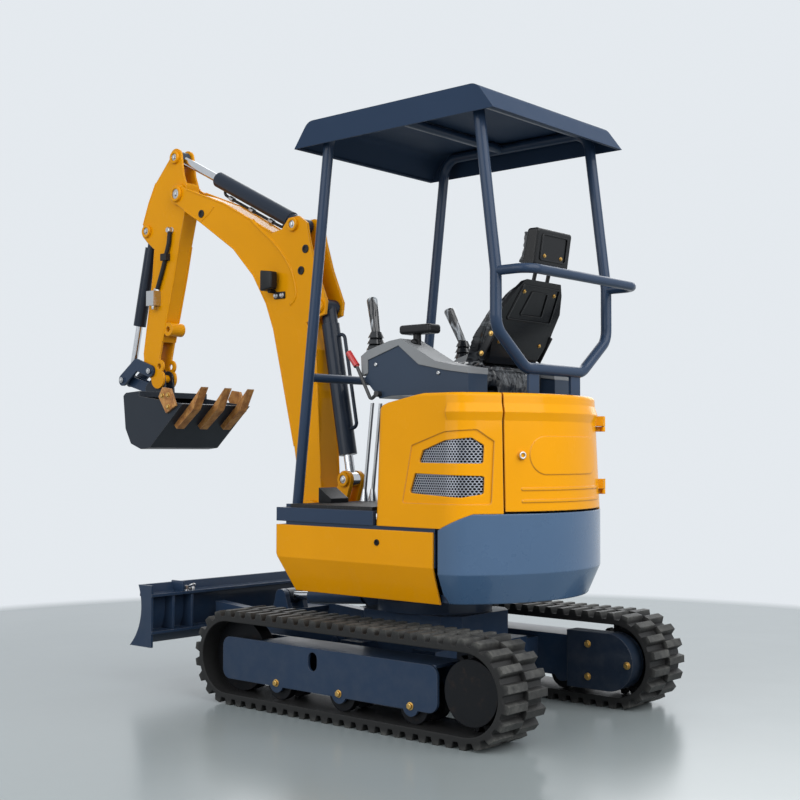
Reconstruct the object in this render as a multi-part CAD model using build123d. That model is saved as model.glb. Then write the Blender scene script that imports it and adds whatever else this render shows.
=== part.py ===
"""Small excavator on rubber tracks with a canopy: undercarriage, blade, house, boom, arm and bucket.

Millimetres. X points forward, Y to the operator's left, Z up. The origin is on the slew axis at ground level.
"""
import os
from math import atan2, cos, degrees, hypot, pi, radians, sin, sqrt

from build123d import *

# Tracks
TRACKS_OVERALL_WIDTH = 1200
BELT_WIDTH = 230
BELT_THICKNESS = 20
LUG_HEIGHT = 25
LUG_COUNT = 58
LUG_BASE = 40
LUG_TIP = 24
WHEEL_RADIUS = 145
IDLER_X = 606
SPROCKET_X = -622
WHEEL_GAP = 0.4

# Track frames, idlers, sprockets and rollers
FRAME_PLATE = 12
FRAME_INSET = 28
FRAME_FRONT_X = 655
FRAME_REAR_X = -480
FRAME_BOTTOM_Z = 100
FRAME_TOP_Z = 270
FRAME_CORNER = 40
FRAME_DECK_FRONT_X = 440
FRAME_DECK_REAR_X = -465
FRAME_SLOT_X = 140
FRAME_SLOT_RISE = 33
FRAME_SLOT_WIDTH = 48
FRAME_SLOT_HEIGHT = 72
ROLLER_EAR_RADIUS = 36
IDLER_WIDTH = 60
IDLER_HUB_RADIUS = 60
AXLE_RADIUS = 22
ROLLER_XS = (340, 0, -355)
ROLLER_Z = 112
ROLLER_RIM_WIDTH = 34
ROLLER_GAP = 8
ROLLER_DRUM_RADIUS = 46
ROLLER_AXLE_RADIUS = 16
SPROCKET_WIDTH = 40
SPROCKET_TEETH = 19
SPROCKET_TOOTH_DEPTH = 26
SPROCKET_COVER_RADIUS = 117
SPROCKET_COVER_INSET = 38
FINAL_DRIVE_RADIUS = 92
MOTOR_GUARD_DEPTH = 75
MOTOR_GUARD_FRONT_X = -430
MOTOR_GUARD_RADIUS = 114

# Carbody between the tracks, with its slew ring
CARBODY_LENGTH = 520
CARBODY_WIDTH = 420
CARBODY_BOTTOM_Z = 160
CARBODY_TOP_Z = 385
CARBODY_CHAMFER = 60
CROSS_TUBE_X = 190
CROSS_TUBE_SIZE = 90
CROSS_TUBE_Z = 205
CROSS_SLEEVE_SIZE = 116
CROSS_SLEEVE_Y = 300
SLEW_RING_RADIUS = 235
SLEW_RING_TOP_Z = 430
SLEW_GAP = 0.4

# Blade
BLADE_PIVOT = (330, 245)
BLADE_TOP = (1181, 444)
BLADE_BELLY = (1163, 310)
BLADE_TIP = (1238, 178)
BLADE_PLATE = 14
BLADE_RIB_DEPTH = 70
BLADE_RIB_ZS = (235, 395)
BLADE_RIB = 12
BLADE_WING = 12
BLADE_WING_BACK_X = 1092
BLADE_ARM_Y = 190
BLADE_ARM_WIDTH = 50
BLADE_ARM_EYE = 48
BLADE_ARM_END = (225, 350)
BLADE_EAR = 26
BLADE_PIN_RADIUS = 18
BLADE_SIDE_GAP = 2
BLADE_BRACE_X = (790, 905)
BLADE_BRACE_Z = (300, 318)

# Blade cylinder
BLADE_CYLINDER_BASE = (305, 412)
BLADE_CYLINDER_EYE = (850, 372)
BLADE_BARREL_RADIUS = 36
BLADE_ROD_RADIUS = 19
BLADE_BARREL_SHARE = 0.74
BLADE_ROD_ROOT = 120
BLADE_EYE_HALF = 30

# House: main frame, deck, skirts and counterweight
HOUSE_PLATE_BOTTOM_Z = 470
HOUSE_PLATE = 30
HOUSE_HALF_WIDTH = 473
HOUSE_FRONT_X = 448
HOUSE_REAR_X = -400
SKIRT_TOP_Z = 731
SKIRT_CREASE_Z = 600
SKIRT_BOTTOM_Z = 464
SKIRT_LEAN = 45
SKIRT_WALL = 8
SKIRT_FRONT_CUT = (70, 150)
SKIRT_REAR_GAP = 24
RAIL_THICKNESS = 12
RAIL_REAR_X = -380
RAIL_FRONT_X = 400
DECK_BOTTOM_Z = 745
DECK_TOP_Z = 800
DECK_SHEET = 10
DECK_RIM = 20
DECK_REAR_X = -80
MAT_THICKNESS = 14
MAT_INSET = 26
MAT_FRONT_X = 392
SWING_BAY_HALF_WIDTH = 205
SWING_BAY_X = 398
TAIL_CENTRE_X = -50
TAIL_RADIUS = 630
TAIL_CORNER = 120
COUNTERWEIGHT_TOP_Z = 800
COUNTERWEIGHT_FRONT_TOP_Z = 740
COUNTERWEIGHT_RISE_X = -520
COUNTERWEIGHT_CREASE_Z = 580
COUNTERWEIGHT_DEPTH = 115
COUNTERWEIGHT_TUCK = 48
HOUSE_PLATE_INSET = 58
HOUSE_PLATE_TAIL_INSET = 70
GUSSET_XS = (-330, -60, 340)
GUSSET = 12
GUSSET_ROOT = 35

# Hood around the engine
HOOD_TOP_Z = 1245
HOOD_SEAT_GAP = 0.3
HOOD_SHEET = 12
HOOD_FRONT_X = -84
HOOD_FRONT_ROUND = 30
HOOD_TOP_ROUND = 14
HOOD_TAPER = 22
HOOD_RIM = 32
HOOD_BROW = ((-84, 85), (-92, 58), (-112, 42), (-140, 32), (-310, 0))
HOOD_RIDGE_DROPS = (105, 72, 38)
HOOD_RIDGE_INSET = 9
HOOD_RIDGE_FRONT_X = -425
LOUVRE_UPPER = ((-295, 986), (-312, 1031), (-416, 1068), (-505, 1078), (-535, 1051), (-535, 984))
LOUVRE_LOWER = ((-255, 873), (-278, 946), (-539, 938), (-539, 873), (-484, 860))
LOUVRE_FRAME = ((-225, 835), (-262, 1050), (-415, 1100), (-520, 1108), (-560, 1065), (-560, 835))
LOUVRE_ROUND = 8
LOUVRE_RECESS = 4
GRILLE_SHEET = 3
HOOD_SEAM_ANGLE = 31
DOOR_GAP = 8
DOOR_BEAD = 3
DOOR_BEAD_DROPS = (355, 399)
DOOR_BEAD_HEIGHT = 10
DOOR_BEAD_INSET = 67.5
DOOR_PAD_INSET = 106.5
DOOR_PAD_HEIGHT = 142
DOOR_LOCK_RADIUS = 16
DOOR_LOCK_HEIGHT = 9
DOOR_LOCK_DROP = 231
DOOR_LOCK_ANGLE = 24
HINGE_MARGINS = (80, 115)
HINGE_HEIGHT = 40
HINGE_PIN = 5
HINGE_RADIUS = 9
HINGE_STANDOFF = 12
HINGE_LEAF = 4
HINGE_LEAF_ANGLE = 3
HINGE_STEP = 1
ENGINE_CLEARANCE = 35
ENGINE_WIDTH = 420
ENGINE_HEADROOM = 225

# Canopy
CANOPY_TUBE_RADIUS = 22
CANOPY_TUBE_WALL = 4
CANOPY_SIDE_INSET = 99
CANOPY_FOOT_X = 426
CANOPY_FRONT_TOP_X = 250
CANOPY_KNEE_INSET = 90
CANOPY_KNEE_Z = 1690
CANOPY_REAR_LEAN = 85
CANOPY_ELBOW_RISE = 140
CANOPY_BAR_HALF = 190
STAND_HEIGHT = 95
CANOPY_BEND = 80
CANOPY_FOOT_PLATE = (42, 90, 12)
CANOPY_CROSS_FRONT_X = -60
CANOPY_CROSS_INSET = 120
CANOPY_FRONT_BAR_Z = 1330
BUMP_BAR_Z = 1685
BUMP_BAR_REACH = 145
BUMP_BAR_BEND = 60
STAND_Y = 140
STAND_WIDTH = 64
STAND_THICKNESS = 12
ROOF_FRONT_X = 392
ROOF_OVERHANG = 38
ROOF_HALF_WIDTH = 440
ROOF_BOTTOM_Z = 2267
ROOF_TOP_Z = 2370
ROOF_SLOPE_RUN = 78
ROOF_ROUND = 55
ROOF_SHEET = 5

# Operator's place, with heights over the hood's top
SEAT_BASE_HEIGHT = 30
SEAT_CUSHION_X = (-400, 60)
SEAT_CUSHION_HALF_WIDTH = 205
SEAT_CUSHION_THICKNESS = 95
SEAT_BACK_FRONT = ((-262, 125), (-334, 233), (-425, 345), (-489, 412), (-520, 434))
SEAT_BACK_REAR = ((-545, 440), (-455, 265), (-400, 150), (-385, 125))
SEAT_BACK_SHAPE = ((150, 125), (190, 230), (190, 330), (150, 400), (110, 445))
SEAT_SHELL = 22
HEADREST_FRONT = ((-515, 491), (-547, 635))
HEADREST_REAR = ((-600, 635), (-577, 491))
HEADREST_HALF_WIDTH = 115
HEADREST_ROUND = 26
HEADREST_POST_RADIUS = 8
HEADREST_POST_Y = 45
HEADREST_POST_ROOT = (-515, 400)
CONSOLE_INNER_Y = 222
CONSOLE_OUTER_Y = 350
CONSOLE_COVER = (
    (-440, 98), (-376, 108), (-283, 127), (-110, 221), (-51, 214), (63, 182), (97, 161), (92, 82)
)
CONSOLE_BODY = ((-440, 74), (-330, 90), (-203, 116), (-100, 194), (61, 144), (61, 92), (82, 72), (0, -10))
CONSOLE_FOOT_X = -60
CONSOLE_SIDE_STEP = 4
STICK_X = 76
STICK_Y = 283
STICK_LEAN = (56, 36)
BELLOWS_RADII = (44, 30)
BELLOWS_Z = (162, 262)
BELLOWS_PLEATS = 4
GRIP_RADII = (17, 23)
GRIP_TOP = 404
WRIST_REST_X = (-232, -75)
WRIST_REST_Z = (240, 276)
WRIST_REST_HALF_WIDTH = 38
WRIST_STEM_X = -140
WRIST_STEM_RADIUS = 16
WRIST_STEM_ROOT = 175
TRAVEL_LEVER_X = 372
TRAVEL_LEVER_Y = 26
TRAVEL_LEVER_RADIUS = 8
TRAVEL_LEVER_LEAN = 45
TRAVEL_LEVER_TOP_Z = 1235
LEVER_BOOT_RADIUS = 20
LEVER_BOOT_TOP_RADIUS = 9
LEVER_BOOT_HEIGHT = 52
SAFETY_LEVER_POINTS = ((0, 8), (32, -14), (108, 122), (153, 178))
SAFETY_LEVER_BOSS = 12
SAFETY_LEVER_RADIUS = 7
SAFETY_LEVER_BEND = 12
SAFETY_GRIP_RADIUS = 13
PEDAL_X = (318, 388)
PEDAL_Y = (185, 290)
PEDAL_RISE = (18, 62)

# Swing post
SWING_X = 500
SWING_PIN_RADIUS = 40
SWING_LUG_RADIUS = 55
SWING_LUG_ZS = ((500, 545), (700, 742))
SWING_NOSE_FRONT_X = 418
SWING_NOSE_HALF_WIDTH = 75
SWING_GAP = 5
PIN_GAP = 0.05
SWING_HEAD = 38
SWING_WALL = 18
SWING_WALL_GAP = 7
FOOT_EAR = 22
FOOT_EAR_GAP = 4
FOOT_EAR_RADIUS = 60
CYLINDER_EAR = 20
CYLINDER_EAR_RADIUS = 38

# Boom
BOOM_HALF_WIDTH = 60
BOOM_WALL = 8
BOOM_FOOT = (650, 750)
BOOM_FOOT_RADIUS = 62
BOOM_FOOT_PIN = 26
BOOM_REAR = ((605, 914), (640, 1477), (700, 1600), (741, 1697), (763, 1804), (838, 1931), (925, 2030))
BOOM_TOP = ((1004, 2072), (1259, 2206), (1528, 2308))
BOOM_UNDER = ((1553, 2210), (1428, 2138), (1187, 1983), (1048, 1845), (958, 1706), (908, 1584), (857, 1390),
              (770, 1050))
BOOM_TIP_RADIUS = 52
BOOM_FORK_GAP = 5
BOOM_FORK_DEPTH = 178
BRACKET = 14
BRACKET_EDGE = ((860, 2038), (815, 2085), (750, 2088), (699, 2052), (684, 1975), (640, 1840), (574, 1690),
                (582, 1632))

# Arm
ARM_PIVOT = (1608, 2296)
ARM_PIN = 25
ARM_HALF_WIDTH = 42
ARM_PLATE = 10
ARM_WALL = 10
ARM_TAIL_PIN = (1643, 2487)
ARM_TAIL_RADIUS = 45
ARM_FRONT = ((1797, 2378), (1850, 2284), (1895, 2177), (1900, 2120), (1862, 2085), (1800, 2040), (1812, 1899),
             (1846, 1691), (1876, 1520), (1866, 1420))
ARM_REAR = ((1730, 1400), (1760, 1450), (1752, 1500), (1734, 1573), (1649, 1885), (1612, 2046), (1562, 2230))
ARM_TAIL_REAR = ((1560, 2340), (1582, 2395))
ARM_THROAT_Z = 2352
ARM_FORK_Z = 1570
THUMB_EARS = ((1690, 1632), (1757, 1450))
THUMB_EAR_RADIUS = 34
THUMB_EAR_BORE = 14
BUCKET_PIVOT = (1768, 1388)
BUCKET_EYE = 50
BUCKET_PIN = 20

# Bucket linkage
ROCKER_PIVOT = (1815, 1428)
LINKAGE_JOINT = (2035, 1390)
BUCKET_LINK_PIN = (1852, 1340)
LINKAGE_PIN = 15
LINK_EYE = 27
ROCKER_EYE = 30
ROCKER_BOW = (1925, 1465)
ROCKER_BOW_RADIUS = 30
LAYER_GAP = 2
ROD_EYE_HALF = 10
LINK_PLATE = 8
EAR_PLATE = 8
ROCKER_PLATE = 12

# Bucket
BUCKET_HALF_WIDTH = 214
BUCKET_WALL = 10
BUCKET_LIP = (1365, 1248)
BUCKET_OUTLINE = (
    (1605, 1042), (1674, 1035), (1752, 1062), (1796, 1136), (1816, 1296), (1806, 1306), (1669, 1290)
)
BUCKET_BRIDGE = ((1690, 1290), (1690, 1318), (1796, 1312))
BUCKET_EAR_RADIUS = 40
TOOTH_TIP = (1284, 1328)
TOOTH_YS = (-146, 0, 146)
TOOTH_WIDTH = 46
TOOTH_ROOT = 150
TOOTH_THICKNESS = 36
CUTTER_OUTLINE = ((1441, 1322), (1500, 1330), (1528, 1285), (1470, 1205), (1400, 1240))
CUTTER_PLATE = 12

# Boom, arm and bucket cylinders
BOOM_CYLINDER_FOOT = (473, 905)
BOOM_CYLINDER_HEAD = (619, 1670)
BOOM_BARREL_RADIUS = 40
BOOM_ROD_RADIUS = 21
BOOM_BARREL_SHARE = 0.86
BOOM_ROD_ROOT = 120
BOOM_EYE_HALF = 38
BOOM_ROD_EYE_HALF = 21
ARM_CYLINDER_BASE = (784, 2052)
ARM_BARREL_RADIUS = 38
ARM_ROD_RADIUS = 20
ARM_BARREL_SHARE = 0.67
ARM_ROD_ROOT = 375
ARM_EYE_HALF = 36
ARM_ROD_EYE_HALF = 25
BUCKET_CYLINDER_BASE = (1860, 2140)
BUCKET_BARREL_RADIUS = 32
BUCKET_ROD_RADIUS = 17
BUCKET_BARREL_SHARE = 0.63
BUCKET_ROD_ROOT = 360
BUCKET_EYE_HALF = 25
EYE_RADIUS = 34
EYE_BORE = 18
BARREL_NECK = 30
BARREL_START = 80
BARREL_WALL = 7
PIN_HEAD = 9
PIN_HEAD_RADIUS = 24

# Work lamp
LAMP_PLACE = (904, 1804)
LAMP_SIZE = (70, 62, 96)
LAMP_STALK = 20

# Pipe on the boom cylinder, hose and valve on the arm
PIPE_RADIUS = 8
PIPE_STANDOFF = 34
PIPE_SPAN = (60, 480)
PIPE_BEND = 22
HOSE_RADIUS = 11
HOSE_POINTS = ((1668, 2128), (1676, 2060), (1722, 1930), (1768, 1825))
HOSE_BEND = 60
CLAMP_PLACE = (1700, 1992)
CLAMP_SIZE = (44, 28, 34)
VALVE_PLACE = (1778, 1790)
VALVE_SIZE = (58, 46, 74)

track_y = (TRACKS_OVERALL_WIDTH - BELT_WIDTH) / 2
wheel_z = WHEEL_RADIUS + BELT_THICKNESS + LUG_HEIGHT
frame_outer_y = TRACKS_OVERALL_WIDTH / 2 - FRAME_INSET
frame_inner_y = TRACKS_OVERALL_WIDTH / 2 - BELT_WIDTH + FRAME_INSET


def upright(face, y_low, y_high):
    """Stand a face drawn as X and Z upright and give it a thickness along Y."""
    return extrude(Plane.XZ.offset(-y_low) * face, y_high - y_low, dir=(0, 1, 0))


def outline(points):
    return Polygon(*points, align=None)


def slab(low, high):
    """A box between two corners."""
    size = [b - a for a, b in zip(low, high)]
    middle = [(a + b) / 2 for a, b in zip(low, high)]
    return Pos(*middle) * Box(*size)


def cross_pin(point, radius, y_low, y_high):
    """A round bar along Y through a point given as X and Z."""
    middle = (point[0], (y_low + y_high) / 2, point[1])
    return Location(middle, (90, 0, 0)) * Cylinder(radius, y_high - y_low)


def upright_pin(x, y, radius, z_low, z_high):
    return Pos(x, y, (z_low + z_high) / 2) * Cylinder(radius, z_high - z_low)


def disc(point, radius):
    return Pos(*point) * Circle(radius)


def strap(*eyes):
    """The smallest outline around round eyes, each a point and a radius."""
    edges = []
    for point, radius in eyes:
        edges += disc(point, radius).edges()
    return make_hull(edges)


def both_sides(shape):
    return [shape, mirror(shape, about=Plane.XZ)]


def fuse(shapes):
    first, *others = shapes
    return first.fuse(*others) if others else first


def bar(points, radius, wall=0, bend=0):
    """A round bar or tube along a run of points, with rounded corners."""
    path = FilletPolyline(*points, radius=bend) if bend else Polyline(*points)
    section = Circle(radius) - Circle(radius - wall) if wall else Circle(radius)
    start = Plane(origin=path @ 0, z_dir=path % 0)
    return sweep(start * section, path=path)


def save(name, shape):
    solids = shape if isinstance(shape, list) else [shape]
    pieces = [piece for solid in solids for piece in solid.solids()]
    export_step(Compound(children=pieces), f"parts/{name}.step")


# Tracks: one loop each, with two staggered rows of lugs on the outside
def loop_point(distance, height):
    """A point over the belt's outer face, given how far along the loop it lies and how high it stands."""
    run = IDLER_X - SPROCKET_X
    radius = WHEEL_RADIUS + BELT_THICKNESS
    turn = pi * radius
    distance %= 2 * (run + turn)
    reach = radius + height
    if distance < run:
        return SPROCKET_X + distance, wheel_z + reach
    if distance < run + turn:
        angle = pi / 2 - (distance - run) / radius
        return IDLER_X + reach * cos(angle), wheel_z + reach * sin(angle)
    if distance < 2 * run + turn:
        return IDLER_X - (distance - run - turn), wheel_z - reach
    angle = -pi / 2 - (distance - 2 * run - turn) / radius
    return SPROCKET_X + reach * cos(angle), wheel_z + reach * sin(angle)


def lugged_loop(shift):
    length = 2 * (IDLER_X - SPROCKET_X) + 2 * pi * (WHEEL_RADIUS + BELT_THICKNESS)
    points = []
    for index in range(LUG_COUNT):
        middle = (index + shift) * length / LUG_COUNT
        points += [
            loop_point(middle - LUG_BASE / 2, 0),
            loop_point(middle - LUG_TIP / 2, LUG_HEIGHT),
            loop_point(middle + LUG_TIP / 2, LUG_HEIGHT),
            loop_point(middle + LUG_BASE / 2, 0),
        ]
    inside = SlotCenterToCenter(IDLER_X - SPROCKET_X, 2 * WHEEL_RADIUS)
    return outline(points) - Pos((IDLER_X + SPROCKET_X) / 2, wheel_z) * inside


def track(side):
    middle = side * track_y
    half = BELT_WIDTH / 2
    outer = upright(lugged_loop(0.25), middle, middle + half)
    return outer + upright(lugged_loop(0.75), middle - half, middle)


# Track frames: an outer and an inner plate joined by a deck
def track_frame():
    """The left frame."""
    length = FRAME_FRONT_X - FRAME_REAR_X
    height = FRAME_TOP_Z - FRAME_BOTTOM_Z
    middle = ((FRAME_FRONT_X + FRAME_REAR_X) / 2, (FRAME_TOP_Z + FRAME_BOTTOM_Z) / 2)
    side = Pos(*middle) * RectangleRounded(length, height, FRAME_CORNER)
    side = fuse([side, *[disc((x, ROLLER_Z), ROLLER_EAR_RADIUS) for x in ROLLER_XS]])
    slot = SlotOverall(FRAME_SLOT_HEIGHT, FRAME_SLOT_WIDTH, rotation=90)
    slot = Pos(FRAME_SLOT_X, middle[1] + FRAME_SLOT_RISE) * slot
    guard = outline((
        (FRAME_REAR_X + FRAME_CORNER, wheel_z - FRAME_CORNER),
        (FRAME_REAR_X + FRAME_CORNER, wheel_z + FRAME_CORNER),
        (SPROCKET_X, wheel_z + MOTOR_GUARD_RADIUS),
        (SPROCKET_X, wheel_z - MOTOR_GUARD_RADIUS),
    )) + disc((SPROCKET_X, wheel_z), MOTOR_GUARD_RADIUS)
    outer = upright(side - slot, frame_outer_y - FRAME_PLATE, frame_outer_y)
    inner = upright(side + guard, frame_inner_y, frame_inner_y + FRAME_PLATE)
    deck = slab(
        (FRAME_DECK_REAR_X, frame_inner_y + FRAME_PLATE, FRAME_TOP_Z - FRAME_PLATE),
        (FRAME_DECK_FRONT_X, frame_outer_y - FRAME_PLATE, FRAME_TOP_Z),
    )
    return fuse([outer, inner, deck])


def idler():
    """The left idler, on an axle between the frame's plates."""
    centre = (IDLER_X, wheel_z)
    wheel = cross_pin(centre, WHEEL_RADIUS - WHEEL_GAP, track_y - IDLER_WIDTH / 2, track_y + IDLER_WIDTH / 2)
    hub = cross_pin(centre, IDLER_HUB_RADIUS, track_y - IDLER_WIDTH, track_y + IDLER_WIDTH)
    axle = cross_pin(centre, AXLE_RADIUS, frame_inner_y + FRAME_PLATE, frame_outer_y - FRAME_PLATE)
    return fuse([wheel, hub, axle])


def sprocket():
    """The left sprocket with its final drive and outer cover."""
    centre = (SPROCKET_X, wheel_z)
    tip = WHEEL_RADIUS - WHEEL_GAP
    root = tip - SPROCKET_TOOTH_DEPTH
    points = []
    for index in range(SPROCKET_TEETH):
        for share, radius in ((0, root), (0.25, root), (0.5, tip), (0.75, tip)):
            angle = 2 * pi * (index + share) / SPROCKET_TEETH
            points.append((centre[0] + radius * cos(angle), centre[1] + radius * sin(angle)))
    ring = upright(outline(points), track_y - SPROCKET_WIDTH / 2, track_y + SPROCKET_WIDTH / 2)
    drive = cross_pin(centre, FINAL_DRIVE_RADIUS, frame_inner_y + FRAME_PLATE, track_y)
    cover = cross_pin(centre, SPROCKET_COVER_RADIUS, track_y, TRACKS_OVERALL_WIDTH / 2 - SPROCKET_COVER_INSET)
    return fuse([ring, drive, cover])


def roller(x):
    """A left roller between the frame's plates."""
    low = frame_inner_y + FRAME_PLATE
    high = frame_outer_y - FRAME_PLATE
    centre = (x, ROLLER_Z)
    rim = ROLLER_Z - LUG_HEIGHT - BELT_THICKNESS - WHEEL_GAP
    pieces = [
        cross_pin(centre, ROLLER_AXLE_RADIUS, low, high),
        cross_pin(centre, ROLLER_DRUM_RADIUS, low + ROLLER_GAP, high - ROLLER_GAP),
        cross_pin(centre, rim, low + ROLLER_GAP, low + ROLLER_GAP + ROLLER_RIM_WIDTH),
        cross_pin(centre, rim, high - ROLLER_GAP - ROLLER_RIM_WIDTH, high - ROLLER_GAP),
    ]
    return fuse(pieces)


def travel_motor():
    """The left travel motor under its guard, a half round with a straight front."""
    centre = (SPROCKET_X, wheel_z)
    guard = disc(centre, MOTOR_GUARD_RADIUS) + rectangle(
        (SPROCKET_X, wheel_z - MOTOR_GUARD_RADIUS), (MOTOR_GUARD_FRONT_X, wheel_z + MOTOR_GUARD_RADIUS)
    )
    return upright(guard, frame_inner_y - MOTOR_GUARD_DEPTH, frame_inner_y)


# Carbody: a box with two cross tubes to the track frames, the lower slew ring and the blade's ears
def carbody():
    height = CARBODY_TOP_Z - CARBODY_BOTTOM_Z
    box = Pos(0, 0, CARBODY_BOTTOM_Z + height / 2) * Box(CARBODY_LENGTH, CARBODY_WIDTH, height)
    box = chamfer(box.edges().filter_by(Axis.Z), CARBODY_CHAMFER)
    ring = upright_pin(0, 0, SLEW_RING_RADIUS, CARBODY_TOP_Z, SLEW_RING_TOP_Z)
    pieces = [box, ring]
    for x in (CROSS_TUBE_X, -CROSS_TUBE_X):
        pieces.append(Pos(x, 0, CROSS_TUBE_Z) * Box(CROSS_TUBE_SIZE, 2 * frame_inner_y, CROSS_TUBE_SIZE))
        pieces.append(Pos(x, 0, CROSS_TUBE_Z) * Box(CROSS_SLEEVE_SIZE, 2 * CROSS_SLEEVE_Y, CROSS_SLEEVE_SIZE))
    front = CARBODY_LENGTH / 2 - BLADE_EAR
    ear = strap((BLADE_PIVOT, BLADE_ARM_EYE), ((front, BLADE_PIVOT[1]), BLADE_ARM_EYE))
    ear_y = BLADE_ARM_Y - BLADE_SIDE_GAP
    base = strap((BLADE_CYLINDER_BASE, EYE_RADIUS), ((front, CARBODY_TOP_Z - EYE_RADIUS), EYE_RADIUS))
    base_y = EYE_RADIUS + BLADE_SIDE_GAP
    for shape in (
        upright(ear, ear_y - BLADE_EAR, ear_y),
        cross_pin(BLADE_PIVOT, BLADE_PIN_RADIUS, ear_y, BLADE_ARM_Y + BLADE_ARM_WIDTH + PIN_HEAD),
        upright(base, base_y, base_y + BLADE_EAR),
    ):
        pieces += both_sides(shape)
    pieces.append(cross_pin(BLADE_CYLINDER_BASE, EYE_BORE, -base_y, base_y))
    return fuse(pieces)


# Blade: a curved mouldboard with ribs and end wings, carried on two arms
def blade():
    front = ThreePointArc(BLADE_TOP, BLADE_BELLY, BLADE_TIP)
    back = ThreePointArc(*[(x - BLADE_PLATE, z) for x, z in (BLADE_TIP, BLADE_BELLY, BLADE_TOP)])
    section = make_face([front, Line(front @ 1, back @ 0), back, Line(back @ 1, front @ 0)])
    half = TRACKS_OVERALL_WIDTH / 2
    pieces = [upright(section, -half, half)]
    rib_front = BLADE_BELLY[0] - BLADE_PLATE / 2
    for z in BLADE_RIB_ZS:
        corner = (rib_front - BLADE_RIB_DEPTH, -half, z)
        pieces.append(slab(corner, (rib_front + BLADE_PLATE, half, z + BLADE_RIB)))
    wing = make_face([
        front,
        Line(front @ 1, (BLADE_WING_BACK_X, BLADE_TIP[1])),
        Line((BLADE_WING_BACK_X, BLADE_TIP[1]), (BLADE_WING_BACK_X, BLADE_TOP[1])),
        Line((BLADE_WING_BACK_X, BLADE_TOP[1]), front @ 0),
    ])
    pieces += both_sides(upright(wing, half - BLADE_WING, half))
    return fuse(pieces)


def blade_arms():
    end_x = BLADE_BELLY[0] - BLADE_PLATE - BLADE_RIB_DEPTH + BLADE_PLATE / 2
    bar_face = strap((BLADE_PIVOT, BLADE_ARM_EYE)) + outline((
        (BLADE_PIVOT[0], BLADE_PIVOT[1] - BLADE_ARM_EYE),
        (end_x, BLADE_ARM_END[0]),
        (end_x, BLADE_ARM_END[1]),
        (BLADE_PIVOT[0], BLADE_PIVOT[1] + BLADE_ARM_EYE),
    ))
    bar_face -= disc(BLADE_PIVOT, BLADE_PIN_RADIUS + PIN_GAP)
    pieces = both_sides(upright(bar_face, BLADE_ARM_Y, BLADE_ARM_Y + BLADE_ARM_WIDTH))
    pieces.append(slab(
        (BLADE_BRACE_X[0], -BLADE_ARM_Y, BLADE_BRACE_Z[0]),
        (BLADE_BRACE_X[1], BLADE_ARM_Y, BLADE_BRACE_Z[1]),
    ))
    ear = strap((BLADE_CYLINDER_EYE, EYE_RADIUS)) + outline((
        (BLADE_BRACE_X[0], BLADE_BRACE_Z[0]),
        (BLADE_BRACE_X[1], BLADE_BRACE_Z[0]),
        (BLADE_CYLINDER_EYE[0] + EYE_RADIUS, BLADE_CYLINDER_EYE[1]),
        (BLADE_CYLINDER_EYE[0] - EYE_RADIUS, BLADE_CYLINDER_EYE[1]),
    ))
    ear_y = EYE_RADIUS + BLADE_SIDE_GAP
    pieces += both_sides(upright(ear, ear_y, ear_y + BLADE_EAR))
    return fuse(pieces)


# Hydraulic cylinders, built between two pins given as X and Z
def along(start, end, distance):
    reach = hypot(end[0] - start[0], end[1] - start[1])
    return tuple(a + (b - a) * distance / reach for a, b in zip(start, end))


def lengthwise(start, end, radius, low, high, bore=0):
    """A round bar on the line from start to end, from one distance to another."""
    angle = degrees(atan2(end[1] - start[1], end[0] - start[0]))
    x, z = along(start, end, (low + high) / 2)
    body = Cylinder(radius, high - low)
    if bore:
        body -= Cylinder(bore, high - low)
    return Location((x, 0, z), (0, 90 - angle, 0)) * body


def cylinder_barrel(start, end, radius, rod_radius, share, eye_half):
    length = hypot(end[0] - start[0], end[1] - start[1]) * share
    inner = radius - BARREL_WALL
    eye = cross_pin(start, EYE_RADIUS, -eye_half, eye_half)
    body = lengthwise(start, end, radius, BARREL_START, length)
    neck = lengthwise(start, end, eye_half - BARREL_WALL / 2, 0, BARREL_START)
    bore = lengthwise(start, end, inner, BARREL_START + BARREL_WALL, length - BARREL_NECK)
    gland = lengthwise(start, end, rod_radius + PIN_GAP, length - BARREL_NECK, length)
    hole = cross_pin(start, EYE_BORE + PIN_GAP, -radius, radius)
    return fuse([eye, body, neck]) - bore - gland - hole


def cylinder_rod(start, end, rod_radius, root, eye_half):
    """The rod starts inside its barrel, to stay there over the whole stroke, and ends in a flat eye."""
    reach = hypot(end[0] - start[0], end[1] - start[1])
    rod = lengthwise(start, end, rod_radius, root, reach)
    for cheek in both_sides(cross_pin(end, 2 * EYE_RADIUS, eye_half, eye_half + rod_radius)):
        rod -= cheek
    eye = cross_pin(end, EYE_RADIUS, -eye_half, eye_half)
    hole = cross_pin(end, EYE_BORE + PIN_GAP, -eye_half, eye_half)
    return fuse([rod, eye]) - hole


# House frame: base plate, upper slew ring, side rails on gussets and the nose that holds the swing post
def lengthways(face, x_low, x_high):
    """Give a face drawn as Y and Z a thickness along X."""
    return extrude(Plane.YZ.offset(x_low) * face, x_high - x_low, dir=(1, 0, 0))


def level(face, z_low, z_high):
    """Give a face drawn as X and Y a thickness along Z."""
    return extrude(Pos(0, 0, z_low) * face, z_high - z_low, dir=(0, 0, 1))


def rectangle(low, high):
    return Pos((low[0] + high[0]) / 2, (low[1] + high[1]) / 2) * Rectangle(high[0] - low[0], high[1] - low[1])


house_plate_top = HOUSE_PLATE_BOTTOM_Z + HOUSE_PLATE
house_plate_half = HOUSE_HALF_WIDTH - HOUSE_PLATE_INSET
house_plate_tail = TAIL_RADIUS - HOUSE_PLATE_TAIL_INSET
gusset_root_y = house_plate_half - GUSSET_ROOT
skirt_inner_y = HOUSE_HALF_WIDTH - SKIRT_WALL


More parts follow.
